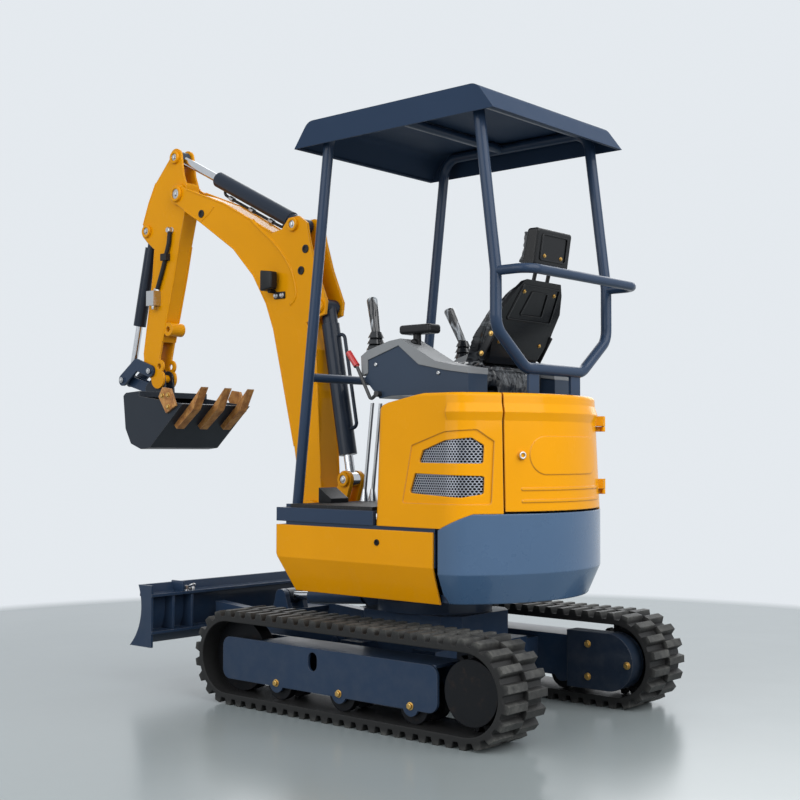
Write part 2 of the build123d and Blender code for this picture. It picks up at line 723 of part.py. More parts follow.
def main_frame():
    tail = disc((TAIL_CENTRE_X, 0), house_plate_tail)
    tail &= rectangle((-TAIL_RADIUS * 2, -house_plate_half), (TAIL_CENTRE_X, house_plate_half))
    front = rectangle((TAIL_CENTRE_X, -house_plate_half), (RAIL_FRONT_X, house_plate_half))
    pieces = [
        level(tail + front, HOUSE_PLATE_BOTTOM_Z, house_plate_top),
        upright_pin(0, 0, SLEW_RING_RADIUS, SLEW_RING_TOP_Z + SLEW_GAP, HOUSE_PLATE_BOTTOM_Z),
        slab(
            (RAIL_FRONT_X - house_plate_half / 2, -SWING_NOSE_HALF_WIDTH, house_plate_top),
            (SWING_NOSE_FRONT_X, SWING_NOSE_HALF_WIDTH, SWING_LUG_ZS[1][1]),
        ),
    ]
    for low, high in SWING_LUG_ZS:
        root = rectangle(
            (SWING_NOSE_FRONT_X - SWING_LUG_RADIUS, -SWING_LUG_RADIUS), (SWING_X, SWING_LUG_RADIUS)
        )
        lug = root + disc((SWING_X, 0), SWING_LUG_RADIUS) - disc((SWING_X, 0), SWING_PIN_RADIUS + PIN_GAP)
        pieces.append(level(lug, low, high))
    rail_y = skirt_inner_y - RAIL_THICKNESS
    rail = slab((RAIL_REAR_X, rail_y, SKIRT_CREASE_Z), (RAIL_FRONT_X, skirt_inner_y, DECK_BOTTOM_Z))
    gusset_face = outline((
        (gusset_root_y, HOUSE_PLATE_BOTTOM_Z + HOUSE_PLATE / 2),
        (house_plate_half, house_plate_top - HOUSE_PLATE / 2),
        (rail_y, SKIRT_CREASE_Z + GUSSET),
        (rail_y, DECK_BOTTOM_Z - GUSSET),
        (gusset_root_y, house_plate_top + HOUSE_PLATE),
    ))
    pieces += both_sides(rail)
    for x in GUSSET_XS:
        pieces += both_sides(lengthways(gusset_face, x, x + GUSSET))
    return fuse(pieces)


def deck():
    bay = rectangle((SWING_BAY_X, -SWING_BAY_HALF_WIDTH), (HOUSE_FRONT_X, SWING_BAY_HALF_WIDTH))
    plan = rectangle((DECK_REAR_X, -HOUSE_HALF_WIDTH), (HOUSE_FRONT_X, HOUSE_HALF_WIDTH)) - bay
    sheet = level(plan, DECK_TOP_Z - DECK_SHEET, DECK_TOP_Z)
    inside = rectangle(
        (DECK_REAR_X, DECK_RIM - HOUSE_HALF_WIDTH), (HOUSE_FRONT_X - DECK_RIM, HOUSE_HALF_WIDTH - DECK_RIM)
    ) + rectangle((SWING_BAY_X, -SWING_BAY_HALF_WIDTH), (HOUSE_FRONT_X, SWING_BAY_HALF_WIDTH))
    rim = level(plan - inside, DECK_BOTTOM_Z, DECK_TOP_Z - DECK_SHEET)
    return fuse([sheet, *rim.solids()])


def floor_mat():
    half = HOUSE_HALF_WIDTH - MAT_INSET
    plan = rectangle((DECK_REAR_X + MAT_INSET, -half), (MAT_FRONT_X, half))
    return level(plan, DECK_TOP_Z, DECK_TOP_Z + MAT_THICKNESS)


def skirt():
    """The left side skirt with its front corner."""
    foot_y = HOUSE_HALF_WIDTH - SKIRT_LEAN
    side = outline((
        (HOUSE_HALF_WIDTH, SKIRT_TOP_Z),
        (HOUSE_HALF_WIDTH, SKIRT_CREASE_Z),
        (foot_y, SKIRT_BOTTOM_Z),
        (foot_y - SKIRT_WALL, SKIRT_BOTTOM_Z),
        (skirt_inner_y, SKIRT_CREASE_Z),
        (skirt_inner_y, SKIRT_TOP_Z),
    ))
    front = outline((
        (SWING_BAY_HALF_WIDTH, SKIRT_TOP_Z),
        (HOUSE_HALF_WIDTH, SKIRT_TOP_Z),
        (HOUSE_HALF_WIDTH, SKIRT_CREASE_Z),
        (foot_y, SKIRT_BOTTOM_Z),
        (SWING_BAY_HALF_WIDTH, SKIRT_BOTTOM_Z),
    ))
    corner = outline((
        (HOUSE_FRONT_X - SKIRT_FRONT_CUT[0], SKIRT_BOTTOM_Z),
        (HOUSE_FRONT_X, SKIRT_BOTTOM_Z + SKIRT_FRONT_CUT[1]),
        (HOUSE_FRONT_X, SKIRT_BOTTOM_Z),
    ))
    shell = lengthways(side, HOUSE_REAR_X + SKIRT_REAR_GAP, HOUSE_FRONT_X) + lengthways(
        front, HOUSE_FRONT_X - SKIRT_WALL, HOUSE_FRONT_X
    )
    return shell - upright(corner, 0, HOUSE_HALF_WIDTH)


def tail_plan(inset, front_x, front_round=0):
    """The tail's plan with rounded corners, drawn in by an inset and cut off at the front."""
    half = HOUSE_HALF_WIDTH - inset
    plan = disc((TAIL_CENTRE_X, 0), TAIL_RADIUS - inset) & rectangle((-2 * TAIL_RADIUS, -half), (0, half))
    plan = fillet(plan.vertices().group_by(Axis.X)[0], TAIL_CORNER - inset)
    plan &= rectangle((-2 * TAIL_RADIUS, -half), (front_x, half))
    return fillet(plan.vertices().group_by(Axis.X)[-1], front_round) if front_round else plan


def tapered(low, z_low, high, z_high):
    """A solid that runs straight from one plan to another."""
    return loft([Pos(0, 0, z_low) * low.face(), Pos(0, 0, z_high) * high.face()], ruled=True)


def counterweight():
    outer = tail_plan(0, HOUSE_REAR_X)
    tucked = tail_plan(COUNTERWEIGHT_TUCK, HOUSE_REAR_X)
    lower = tapered(tucked, HOUSE_PLATE_BOTTOM_Z, outer, COUNTERWEIGHT_CREASE_Z)
    upper = level(outer, COUNTERWEIGHT_CREASE_Z, COUNTERWEIGHT_TOP_Z)
    inside = level(tail_plan(COUNTERWEIGHT_DEPTH, HOUSE_REAR_X), HOUSE_PLATE_BOTTOM_Z, COUNTERWEIGHT_TOP_Z)
    slope = outline((
        (HOUSE_REAR_X, COUNTERWEIGHT_FRONT_TOP_Z),
        (COUNTERWEIGHT_RISE_X, COUNTERWEIGHT_TOP_Z),
        (HOUSE_REAR_X, COUNTERWEIGHT_TOP_Z),
    ))
    ledge = upright_pin(
        TAIL_CENTRE_X, 0, house_plate_tail + WHEEL_GAP, HOUSE_PLATE_BOTTOM_Z, house_plate_top
    )
    return fuse([upper, lower]) - inside - upright(slope, -HOUSE_HALF_WIDTH, HOUSE_HALF_WIDTH) - ledge


# Hood: one tapered shell, parted into side panels, top, front wall and the rear door on the tail's arc
hood_bottom = DECK_BOTTOM_Z
hood_rear_bottom = COUNTERWEIGHT_TOP_Z + HOOD_SEAT_GAP
hinge_zs = (hood_rear_bottom + HINGE_MARGINS[0], HOOD_TOP_Z - HINGE_MARGINS[1])


def taper_at(z):
    return HOOD_TAPER * (z - hood_bottom) / (HOOD_TOP_Z - hood_bottom)


def tail_sector(angle):
    reach = 2 * TAIL_RADIUS
    across = reach * sin(radians(angle))
    back = TAIL_CENTRE_X - reach * cos(radians(angle))
    return outline(((TAIL_CENTRE_X, 0), (back, across), (back, -across)))


def hood_block(inset):
    """The hood's form as a solid, drawn in by an inset."""
    front = HOOD_FRONT_X - inset
    corner = HOOD_FRONT_ROUND - inset
    low = tail_plan(inset, front, corner)
    high = tail_plan(inset + HOOD_TAPER, front, corner)
    return tapered(low, hood_bottom, high, HOOD_TOP_Z)


def hood_layer(outer_inset, inner_inset):
    return hood_block(outer_inset) - hood_block(inner_inset)


def brow_space(setback):
    """All that lies over the hood's sloping brow."""
    brow = [(x - setback, HOOD_TOP_Z - drop - setback) for x, drop in HOOD_BROW]
    reach = HOUSE_FRONT_X
    return upright(outline((
        *brow,
        (brow[-1][0], HOOD_TOP_Z + reach),
        (reach, HOOD_TOP_Z + reach),
        (reach, brow[0][1]),
    )), -HOUSE_HALF_WIDTH, HOUSE_HALF_WIDTH)


def hood_ridge():
    """A moulding that runs around the rear, below the top."""
    low, peak, high = [HOOD_TOP_Z - drop for drop in HOOD_RIDGE_DROPS]
    front = HOOD_RIDGE_FRONT_X
    crest = tail_plan(HOOD_RIDGE_INSET, front)
    under = tapered(tail_plan(taper_at(low) + HOOD_SEAT_GAP, front), low, crest, peak)
    return under + tapered(crest, peak, tail_plan(taper_at(high) + HOOD_SEAT_GAP, front), high)


def hood_shell():
    solid = hood_block(0)
    solid = fillet(solid.edges().group_by(Axis.Z)[-1], HOOD_TOP_ROUND) + hood_ridge()
    below_top = slab(
        (-2 * TAIL_RADIUS, -HOUSE_HALF_WIDTH, hood_bottom),
        (HOUSE_FRONT_X, HOUSE_HALF_WIDTH, HOOD_TOP_Z - HOOD_SHEET),
    )
    inside = (hood_block(HOOD_SHEET) & below_top) - brow_space(HOOD_SHEET)
    return solid - brow_space(0) - inside


def hood_lid(inset):
    """The space of the hood's top and front, inside the rim."""
    return level(tail_plan(HOOD_TAPER + inset, 0), hood_bottom, HOOD_TOP_Z + HOOD_SHEET)


def hood_side(shell):
    """The left side panel with its rim."""
    sector = level(tail_sector(HOOD_SEAM_ANGLE), hood_bottom, HOOD_TOP_Z + HOOD_SHEET)
    half_space = slab((-2 * TAIL_RADIUS, 0, hood_bottom), (HOUSE_FRONT_X, TAIL_RADIUS, HOOD_TOP_Z))
    tail_rise = upright(outline((
        (HOUSE_REAR_X, COUNTERWEIGHT_FRONT_TOP_Z + HOOD_SEAT_GAP),
        (COUNTERWEIGHT_RISE_X, hood_rear_bottom),
        (-2 * TAIL_RADIUS, hood_rear_bottom),
        (-2 * TAIL_RADIUS, hood_bottom - HOOD_SHEET),
        (HOUSE_REAR_X, hood_bottom - HOOD_SHEET),
    )), 0, HOUSE_HALF_WIDTH)
    return (shell & half_space) - hood_lid(HOOD_RIM) - sector - tail_rise


def louvre(points):
    return fillet(outline(points).vertices(), LOUVRE_ROUND)


def hood_left(shell):
    """The left side panel with a shallow recess and two openings."""
    frame = upright(louvre(LOUVRE_FRAME), 0, TAIL_RADIUS)
    panel = hood_side(shell) - (hood_layer(-LOUVRE_RECESS, LOUVRE_RECESS) & frame)
    for points in (LOUVRE_UPPER, LOUVRE_LOWER):
        panel -= upright(louvre(points), 0, TAIL_RADIUS)
    return panel


def grille_left():
    """The sheet behind the openings."""
    return hood_layer(HOOD_SHEET, HOOD_SHEET + GRILLE_SHEET) & upright(louvre(LOUVRE_FRAME), 0, TAIL_RADIUS)


hinge_angle = HOOD_SEAM_ANGLE - degrees(DOOR_GAP / TAIL_RADIUS) / 2
hinge_x = TAIL_CENTRE_X - (TAIL_RADIUS + HINGE_STANDOFF) * cos(radians(hinge_angle))
hinge_y = -(TAIL_RADIUS + HINGE_STANDOFF) * sin(radians(hinge_angle))


def hinge_leaf(angle_low, angle_high, z_low, z_high):
    """A knuckle at the right-hand seam with a leaf along the tail's arc."""
    reach = 2 * TAIL_RADIUS
    points = [(TAIL_CENTRE_X, 0)]
    for angle in (angle_low, angle_high):
        points.append((TAIL_CENTRE_X - reach * cos(radians(angle)), -reach * sin(radians(angle))))
    centre = (TAIL_CENTRE_X, 0)
    outer = disc(centre, TAIL_RADIUS + HINGE_STANDOFF + HINGE_LEAF)
    leaf = (outer - disc(centre, TAIL_RADIUS - HOOD_TAPER - HOOD_SHEET / 2)) & outline(points)
    return level(leaf + disc((hinge_x, hinge_y), HINGE_RADIUS), z_low, z_high)


def hood_right(shell):
    """The right side panel with the door's hinge pins."""
    pieces = [mirror(hood_side(shell), about=Plane.XZ)]
    for z in hinge_zs:
        seat = z - HINGE_STEP
        pieces.append(hinge_leaf(hinge_angle, hinge_angle + HINGE_LEAF_ANGLE, seat - HINGE_HEIGHT / 2, seat))
        pieces.append(upright_pin(hinge_x, hinge_y, HINGE_PIN, seat - HINGE_STEP, z + HINGE_HEIGHT))
    inside = hood_block(HOOD_SHEET) & level(tail_plan(0, 0), hood_bottom, HOOD_TOP_Z - HOOD_SHEET)
    return fuse(pieces) - (inside - brow_space(HOOD_SHEET))


brow_z = HOOD_TOP_Z - HOOD_BROW[0][1]


def hood_top(shell):
    return (shell & hood_lid(HOOD_RIM)) - level(tail_plan(0, 0), hood_bottom, brow_z)


def hood_front(shell):
    return shell & hood_lid(HOOD_RIM) & level(tail_plan(0, 0), hood_bottom, brow_z)


def rear_door(shell):
    """The door with a raised pad, two beads, a lock and its hinge knuckles."""
    sector = tail_sector(HOOD_SEAM_ANGLE - degrees(DOOR_GAP / TAIL_RADIUS))
    panel = (shell - hood_lid(HOOD_RIM - DOOR_GAP)) & level(
        sector, hood_rear_bottom + DOOR_GAP, HOOD_TOP_Z + HOOD_SHEET
    )
    lock_z = HOOD_TOP_Z - DOOR_LOCK_DROP
    half = TAIL_RADIUS * sin(radians(HOOD_SEAM_ANGLE))
    raised = Pos(0, lock_z) * SlotOverall(2 * (half - DOOR_PAD_INSET), DOOR_PAD_HEIGHT)
    for drop in DOOR_BEAD_DROPS:
        bead = SlotOverall(2 * (half - DOOR_BEAD_INSET), DOOR_BEAD_HEIGHT)
        raised += Pos(0, HOOD_TOP_Z - drop) * bead
    skin = hood_layer(-DOOR_BEAD, HOOD_SHEET / 2)
    pieces = [panel, *(skin & lengthways(raised, -2 * TAIL_RADIUS, HOUSE_REAR_X)).solids()]
    angle = radians(180 - DOOR_LOCK_ANGLE)
    reach = TAIL_RADIUS - taper_at(lock_z) - HOOD_SHEET / 2
    middle = (TAIL_CENTRE_X + reach * cos(angle), reach * sin(angle), lock_z)
    barrel = Plane(origin=middle, z_dir=(cos(angle), sin(angle), 0)) * Circle(DOOR_LOCK_RADIUS)
    pieces.append(extrude(barrel, HOOD_SHEET / 2 + DOOR_LOCK_HEIGHT))
    for z in hinge_zs:
        knuckle = hinge_leaf(hinge_angle - HINGE_LEAF_ANGLE, hinge_angle, z, z + HINGE_HEIGHT)
        pieces.append(knuckle - upright_pin(hinge_x, hinge_y, HINGE_PIN + PIN_GAP, z, z + HINGE_HEIGHT))
    inside = hood_block(HOOD_SHEET) & level(tail_plan(0, 0), hood_bottom, HOOD_TOP_Z - HOOD_SHEET)
    return fuse(pieces) - inside


def engine():
    half = ENGINE_WIDTH / 2
    room = TAIL_RADIUS - COUNTERWEIGHT_DEPTH
    rear = TAIL_CENTRE_X - sqrt(room ** 2 - half ** 2) + ENGINE_CLEARANCE
    front = HOOD_FRONT_X - HOOD_SHEET - ENGINE_CLEARANCE
    return slab((rear, -half, house_plate_top), (front, half, HOOD_TOP_Z - ENGINE_HEADROOM))


# Canopy: a bent tube frame on the deck and the hood, and a folded sheet roof
canopy_foot_z = DECK_TOP_Z + CANOPY_FOOT_PLATE[2]
canopy_rail_z = ROOF_TOP_Z - ROOF_SHEET - CANOPY_TUBE_RADIUS - HOOD_SEAT_GAP
canopy_knee_x = TAIL_CENTRE_X - TAIL_RADIUS + CANOPY_KNEE_INSET
canopy_bar_z = HOOD_TOP_Z + STAND_HEIGHT
canopy_half_width = HOUSE_HALF_WIDTH - CANOPY_SIDE_INSET
roof_rear_x = canopy_knee_x - ROOF_OVERHANG


def canopy_frame():
    y = canopy_half_width
    knee_x = canopy_knee_x
    bump_x = knee_x - BUMP_BAR_REACH
    hoop = bar((
        (CANOPY_FOOT_X, y, canopy_foot_z),
        (CANOPY_FRONT_TOP_X, y, canopy_rail_z),
        (knee_x + CANOPY_REAR_LEAN, y, canopy_rail_z),
        (knee_x, y, CANOPY_KNEE_Z),
        (knee_x, y, canopy_bar_z + CANOPY_ELBOW_RISE),
        (knee_x, CANOPY_BAR_HALF, canopy_bar_z),
        (knee_x, 0, canopy_bar_z),
    ), CANOPY_TUBE_RADIUS, CANOPY_TUBE_WALL, CANOPY_BEND)
    length, width, height = CANOPY_FOOT_PLATE
    foot = Pos(CANOPY_FOOT_X, y, DECK_TOP_Z + height / 2) * Box(length, width, height)
    stand = slab(
        (knee_x - STAND_THICKNESS / 2, STAND_Y - STAND_WIDTH / 2, HOOD_TOP_Z),
        (knee_x + STAND_THICKNESS / 2, STAND_Y + STAND_WIDTH / 2, canopy_bar_z),
    )
    pieces = both_sides(hoop) + both_sides(foot) + both_sides(stand)
    inner = y - CANOPY_TUBE_RADIUS / 2
    for x in (CANOPY_CROSS_FRONT_X, knee_x + CANOPY_CROSS_INSET):
        pieces.append(cross_pin((x, canopy_rail_z), CANOPY_TUBE_RADIUS - CANOPY_TUBE_WALL / 2, -inner, inner))
    lean = (CANOPY_FRONT_TOP_X - CANOPY_FOOT_X) / (canopy_rail_z - canopy_foot_z)
    front_x = CANOPY_FOOT_X + lean * (CANOPY_FRONT_BAR_Z - canopy_foot_z)
    bar_radius = CANOPY_TUBE_RADIUS - CANOPY_TUBE_WALL
    pieces.append(cross_pin((front_x, CANOPY_FRONT_BAR_Z), bar_radius, -inner, inner))
    pieces.append(bar((
        (knee_x, y, BUMP_BAR_Z),
        (bump_x, y, BUMP_BAR_Z),
        (bump_x, -y, BUMP_BAR_Z),
        (knee_x, -y, BUMP_BAR_Z),
    ), CANOPY_TUBE_RADIUS - CANOPY_TUBE_WALL, 0, BUMP_BAR_BEND))
    return fuse(pieces)


def canopy_roof():
    profile = outline((
        (ROOF_FRONT_X, ROOF_BOTTOM_Z),
        (ROOF_FRONT_X - ROOF_SLOPE_RUN, ROOF_TOP_Z),
        (roof_rear_x + ROOF_SLOPE_RUN, ROOF_TOP_Z),
        (roof_rear_x, ROOF_BOTTOM_Z),
    ))
    profile = fillet(profile.vertices().group_by(Axis.Y)[-1], ROOF_ROUND)
    inside = offset(profile, -ROOF_SHEET)
    inside += Pos(0, -2 * ROOF_SHEET) * inside
    half = ROOF_HALF_WIDTH
    return upright(profile, -half, half) - upright(inside, ROOF_SHEET - half, half - ROOF_SHEET)


# Operator's place: seat, consoles, levers and pedals
seat_base_top = HOOD_TOP_Z + SEAT_BASE_HEIGHT
cushion_top = seat_base_top + SEAT_CUSHION_THICKNESS
mat_top = DECK_TOP_Z + MAT_THICKNESS


def over_hood(points):
    return [(x, HOOD_TOP_Z + rise) for x, rise in points]


def seat_cushion():
    half = SEAT_CUSHION_HALF_WIDTH
    low, high = SEAT_CUSHION_X
    base = slab((low, -half / 2, HOOD_TOP_Z), ((low + high) / 2, half / 2, seat_base_top))
    return base + slab((low, -half, seat_base_top), (high, half, cushion_top))


def seat_form():
    """The seat back's form, narrower towards the foot and the top."""
    profile = outline(over_hood((*SEAT_BACK_FRONT, *SEAT_BACK_REAR)))
    side = upright(profile, -HOUSE_HALF_WIDTH, HOUSE_HALF_WIDTH)
    left = over_hood(SEAT_BACK_SHAPE)
    right = [(-y, z) for y, z in reversed(left)]
    return side & lengthways(outline((*left, *right)), -TAIL_RADIUS, HOUSE_FRONT_X)


def behind_back():
    """All that lies behind the seat back's padding."""
    rear = [(x + SEAT_SHELL, z) for x, z in over_hood(SEAT_BACK_REAR)]
    top, foot = rear[0], rear[-1]
    reach = TAIL_RADIUS
    return upright(outline((
        (top[0] - reach, top[1] + reach),
        (top[0], top[1] + reach),
        *rear,
        (foot[0], foot[1] - SEAT_SHELL),
        (top[0] - reach, foot[1] - SEAT_SHELL),
    )), -HOUSE_HALF_WIDTH, HOUSE_HALF_WIDTH)


def seat_back():
    return seat_form() - behind_back()


def seat_shell():
    return seat_form() & behind_back()


def head_rest():
    form = fillet(outline(over_hood((*HEADREST_FRONT, *HEADREST_REAR))).vertices(), HEADREST_ROUND / 2)
    rest = upright(form, -HEADREST_HALF_WIDTH, HEADREST_HALF_WIDTH)
    rest = fillet(rest.edges().filter_by(GeomType.LINE).filter_by(Axis.Y, reverse=True), HEADREST_ROUND / 3)
    root_x, root_z = over_hood([HEADREST_POST_ROOT])[0]
    foot_x = (HEADREST_FRONT[0][0] + HEADREST_REAR[1][0]) / 2
    foot_z = HOOD_TOP_Z + HEADREST_FRONT[0][1] + HEADREST_ROUND
    post = bar(((root_x, HEADREST_POST_Y, root_z), (foot_x, HEADREST_POST_Y, foot_z)), HEADREST_POST_RADIUS)
    return fuse([rest, *both_sides(post)]) - seat_form()


def console():
    """The left console on the hood's top and front edge."""
    foot = ((CONSOLE_FOOT_X, HOOD_TOP_Z), (CONSOLE_COVER[0][0], HOOD_TOP_Z))
    body = outline((*over_hood(CONSOLE_BODY), *foot))
    return upright(body, CONSOLE_INNER_Y + CONSOLE_SIDE_STEP, CONSOLE_OUTER_Y - CONSOLE_SIDE_STEP)


def console_cover():
    """The left console's cover, which laps over the panel's upper edge."""
    inner = over_hood(CONSOLE_BODY)[:-2]
    band = outline((*over_hood(CONSOLE_COVER), *reversed(inner)))
    return upright(band, CONSOLE_INNER_Y, CONSOLE_OUTER_Y)


def joystick():
    """The left joystick, leaning forward and inward over pleated bellows."""
    low, high = [HOOD_TOP_Z + z for z in BELLOWS_Z]
    pleat = (high - low) / BELLOWS_PLEATS
    pieces = []
    for index in range(BELLOWS_PLEATS):
        radius = BELLOWS_RADII[0] + (BELLOWS_RADII[1] - BELLOWS_RADII[0]) * index / BELLOWS_PLEATS
        cone = Cone(radius, radius - pleat / 2, pleat)
        pieces.append(Pos(STICK_X, STICK_Y, low + (index + 0.5) * pleat) * cone)
    start = Vector(STICK_X, STICK_Y, high - pleat / 2)
    end = Vector(STICK_X + STICK_LEAN[0], STICK_Y - STICK_LEAN[1], HOOD_TOP_Z + GRIP_TOP)
    reach = (end - start).length
    grip = Pos(0, 0, reach / 2) * Cone(*GRIP_RADII, reach)
    grip = fillet(grip.edges().group_by(Axis.Z)[-1], GRIP_RADII[1] / 2)
    pieces.append(Plane(origin=start, z_dir=end - start).location * grip)
    return fuse(pieces) - console_cover() - console()


def wrist_rest():
    """The left wrist rest on its stem."""
    low, high = [HOOD_TOP_Z + z for z in WRIST_REST_Z]
    pad = slab(
        (WRIST_REST_X[0], STICK_Y - WRIST_REST_HALF_WIDTH, low),
        (WRIST_REST_X[1], STICK_Y + WRIST_REST_HALF_WIDTH, high),
    )
    pad = fillet(pad.edges(), (high - low) / 3)
    root = HOOD_TOP_Z + WRIST_STEM_ROOT
    stem = upright_pin(WRIST_STEM_X, STICK_Y, WRIST_STEM_RADIUS, root, low + WRIST_STEM_RADIUS)
    return pad + (stem - console_cover() - console())


def safety_lever():
    """A cranked lever at the left console's front, with a thick grip."""
    y = CONSOLE_OUTER_Y + SAFETY_LEVER_BOSS
    points = [(x, y, z) for x, z in over_hood(SAFETY_LEVER_POINTS)]
    lever = bar(points, SAFETY_LEVER_RADIUS, 0, SAFETY_LEVER_BEND)
    grip = bar(points[-2:], SAFETY_GRIP_RADIUS)
    root = (points[0][0], points[0][2])
    boss = cross_pin(root, SAFETY_LEVER_BOSS, CONSOLE_OUTER_Y - CONSOLE_SIDE_STEP, y + SAFETY_LEVER_BOSS / 2)
    return fuse([lever, grip, boss])


def travel_lever():
    boot_top = mat_top + LEVER_BOOT_HEIGHT
    boot = Pos(TRAVEL_LEVER_X, TRAVEL_LEVER_Y, mat_top + LEVER_BOOT_HEIGHT / 2) * Cone(
        LEVER_BOOT_RADIUS, LEVER_BOOT_TOP_RADIUS, LEVER_BOOT_HEIGHT
    )
    rod = bar((
        (TRAVEL_LEVER_X, TRAVEL_LEVER_Y, boot_top - LEVER_BOOT_HEIGHT / 2),
        (TRAVEL_LEVER_X - TRAVEL_LEVER_LEAN, TRAVEL_LEVER_Y, TRAVEL_LEVER_TOP_Z),
    ), TRAVEL_LEVER_RADIUS)
    return boot + rod


def pedal():
    face = outline((
        (PEDAL_X[0], mat_top),
        (PEDAL_X[1], mat_top),
        (PEDAL_X[1], mat_top + PEDAL_RISE[1]),
        (PEDAL_X[0], mat_top + PEDAL_RISE[0]),
    ))
    return upright(face, *PEDAL_Y)


# Pipe along the boom cylinder, hose and valve on the arm's left face
def boom_pipe():
    """A hard pipe that leaves the barrel, runs along it and returns."""
    (head_x, head_z), (foot_x, foot_z) = BOOM_CYLINDER_HEAD, BOOM_CYLINDER_FOOT
    angle = atan2(foot_z - head_z, foot_x - head_x)
    out = (sin(angle), -cos(angle))
    points = []
    for distance, rise in (
        (PIPE_SPAN[0], BOOM_BARREL_RADIUS - BARREL_WALL / 2),
        (PIPE_SPAN[0], BOOM_BARREL_RADIUS + PIPE_STANDOFF),
        (PIPE_SPAN[1], BOOM_BARREL_RADIUS + PIPE_STANDOFF),
        (PIPE_SPAN[1], BOOM_BARREL_RADIUS - BARREL_WALL / 2),
    ):
        x, z = along(BOOM_CYLINDER_HEAD, BOOM_CYLINDER_FOOT, BARREL_START + distance)
        points.append((x + out[0] * rise, 0, z + out[1] * rise))
    return bar(points, PIPE_RADIUS, 0, PIPE_BEND)


def arm_side_block(size, place):
    """A block on the arm's left face."""
    length, depth, height = size
    x, z = place
    low = (x - length / 2, ARM_HALF_WIDTH, z - height / 2)
    return slab(low, (x + length / 2, ARM_HALF_WIDTH + depth, z + height / 2))


def arm_hose():
    """A hose held flat on the arm's left face, from a clamp down to the valve."""
    y = ARM_HALF_WIDTH + HOSE_RADIUS
    hose = bar([(x, y, z) for x, z in HOSE_POINTS], HOSE_RADIUS, 0, HOSE_BEND)
    return hose + arm_side_block(CLAMP_SIZE, CLAMP_PLACE)


def arm_valve():
    return arm_side_block(VALVE_SIZE, VALVE_PLACE) - arm_hose()


# Swing post: a pin in the nose's lugs, ears for the boom's foot and ears for the boom cylinder
def swing_post():
    lower_top = SWING_LUG_ZS[0][1] + SWING_GAP
    upper_bottom = SWING_LUG_ZS[1][0] - SWING_GAP
    head_low = SWING_LUG_ZS[1][1] + SWING_GAP
    head_top = head_low + SWING_HEAD
    wall_x = SWING_X + SWING_LUG_RADIUS + SWING_WALL_GAP
    ear_inner = BOOM_HALF_WIDTH + FOOT_EAR_GAP
    ear_outer = ear_inner + FOOT_EAR
    cylinder_inner = BOOM_ROD_EYE_HALF + FOOT_EAR_GAP
    cylinder_outer = cylinder_inner + CYLINDER_EAR
    half = SWING_LUG_RADIUS
    pieces = [
        upright_pin(SWING_X, 0, SWING_PIN_RADIUS, SWING_LUG_ZS[0][0] - SWING_GAP, head_top),
        upright_pin(SWING_X, 0, half, lower_top, upper_bottom),
        slab((SWING_X, -half, lower_top), (wall_x + SWING_WALL, half, upper_bottom)),
        slab((wall_x, -ear_outer, lower_top), (wall_x + SWING_WALL, ear_outer, head_top)),
        slab((SWING_X, -cylinder_outer, head_low), (wall_x + SWING_WALL, cylinder_outer, head_top)),
        upright_pin(SWING_X, 0, half, head_low, head_top),
        cross_pin(BOOM_FOOT, BOOM_FOOT_PIN, -ear_outer - PIN_HEAD, ear_outer + PIN_HEAD),
    ]
    foot_root = (wall_x + FOOT_EAR_RADIUS / 2, lower_top + FOOT_EAR_RADIUS / 2)
    foot_ear = strap((BOOM_FOOT, FOOT_EAR_RADIUS), (foot_root, FOOT_EAR_RADIUS / 2))
    foot_ear += rectangle((wall_x, lower_top), (BOOM_FOOT[0], BOOM_FOOT[1]))
    root = (SWING_X, head_low + SWING_HEAD / 2)
    cylinder_ear = strap((BOOM_CYLINDER_FOOT, CYLINDER_EAR_RADIUS), (root, SWING_HEAD / 2))
    cylinder_ear += strap((root, SWING_HEAD / 2), ((wall_x, root[1]), SWING_HEAD / 2))
    cylinder_ear += strap((BOOM_CYLINDER_FOOT, SWING_HEAD / 2), ((wall_x, root[1]), SWING_HEAD / 2))
    pieces += both_sides(upright(foot_ear, ear_inner, ear_outer))
    pieces += both_sides(upright(cylinder_ear, cylinder_inner, cylinder_outer))
    return fuse(pieces)


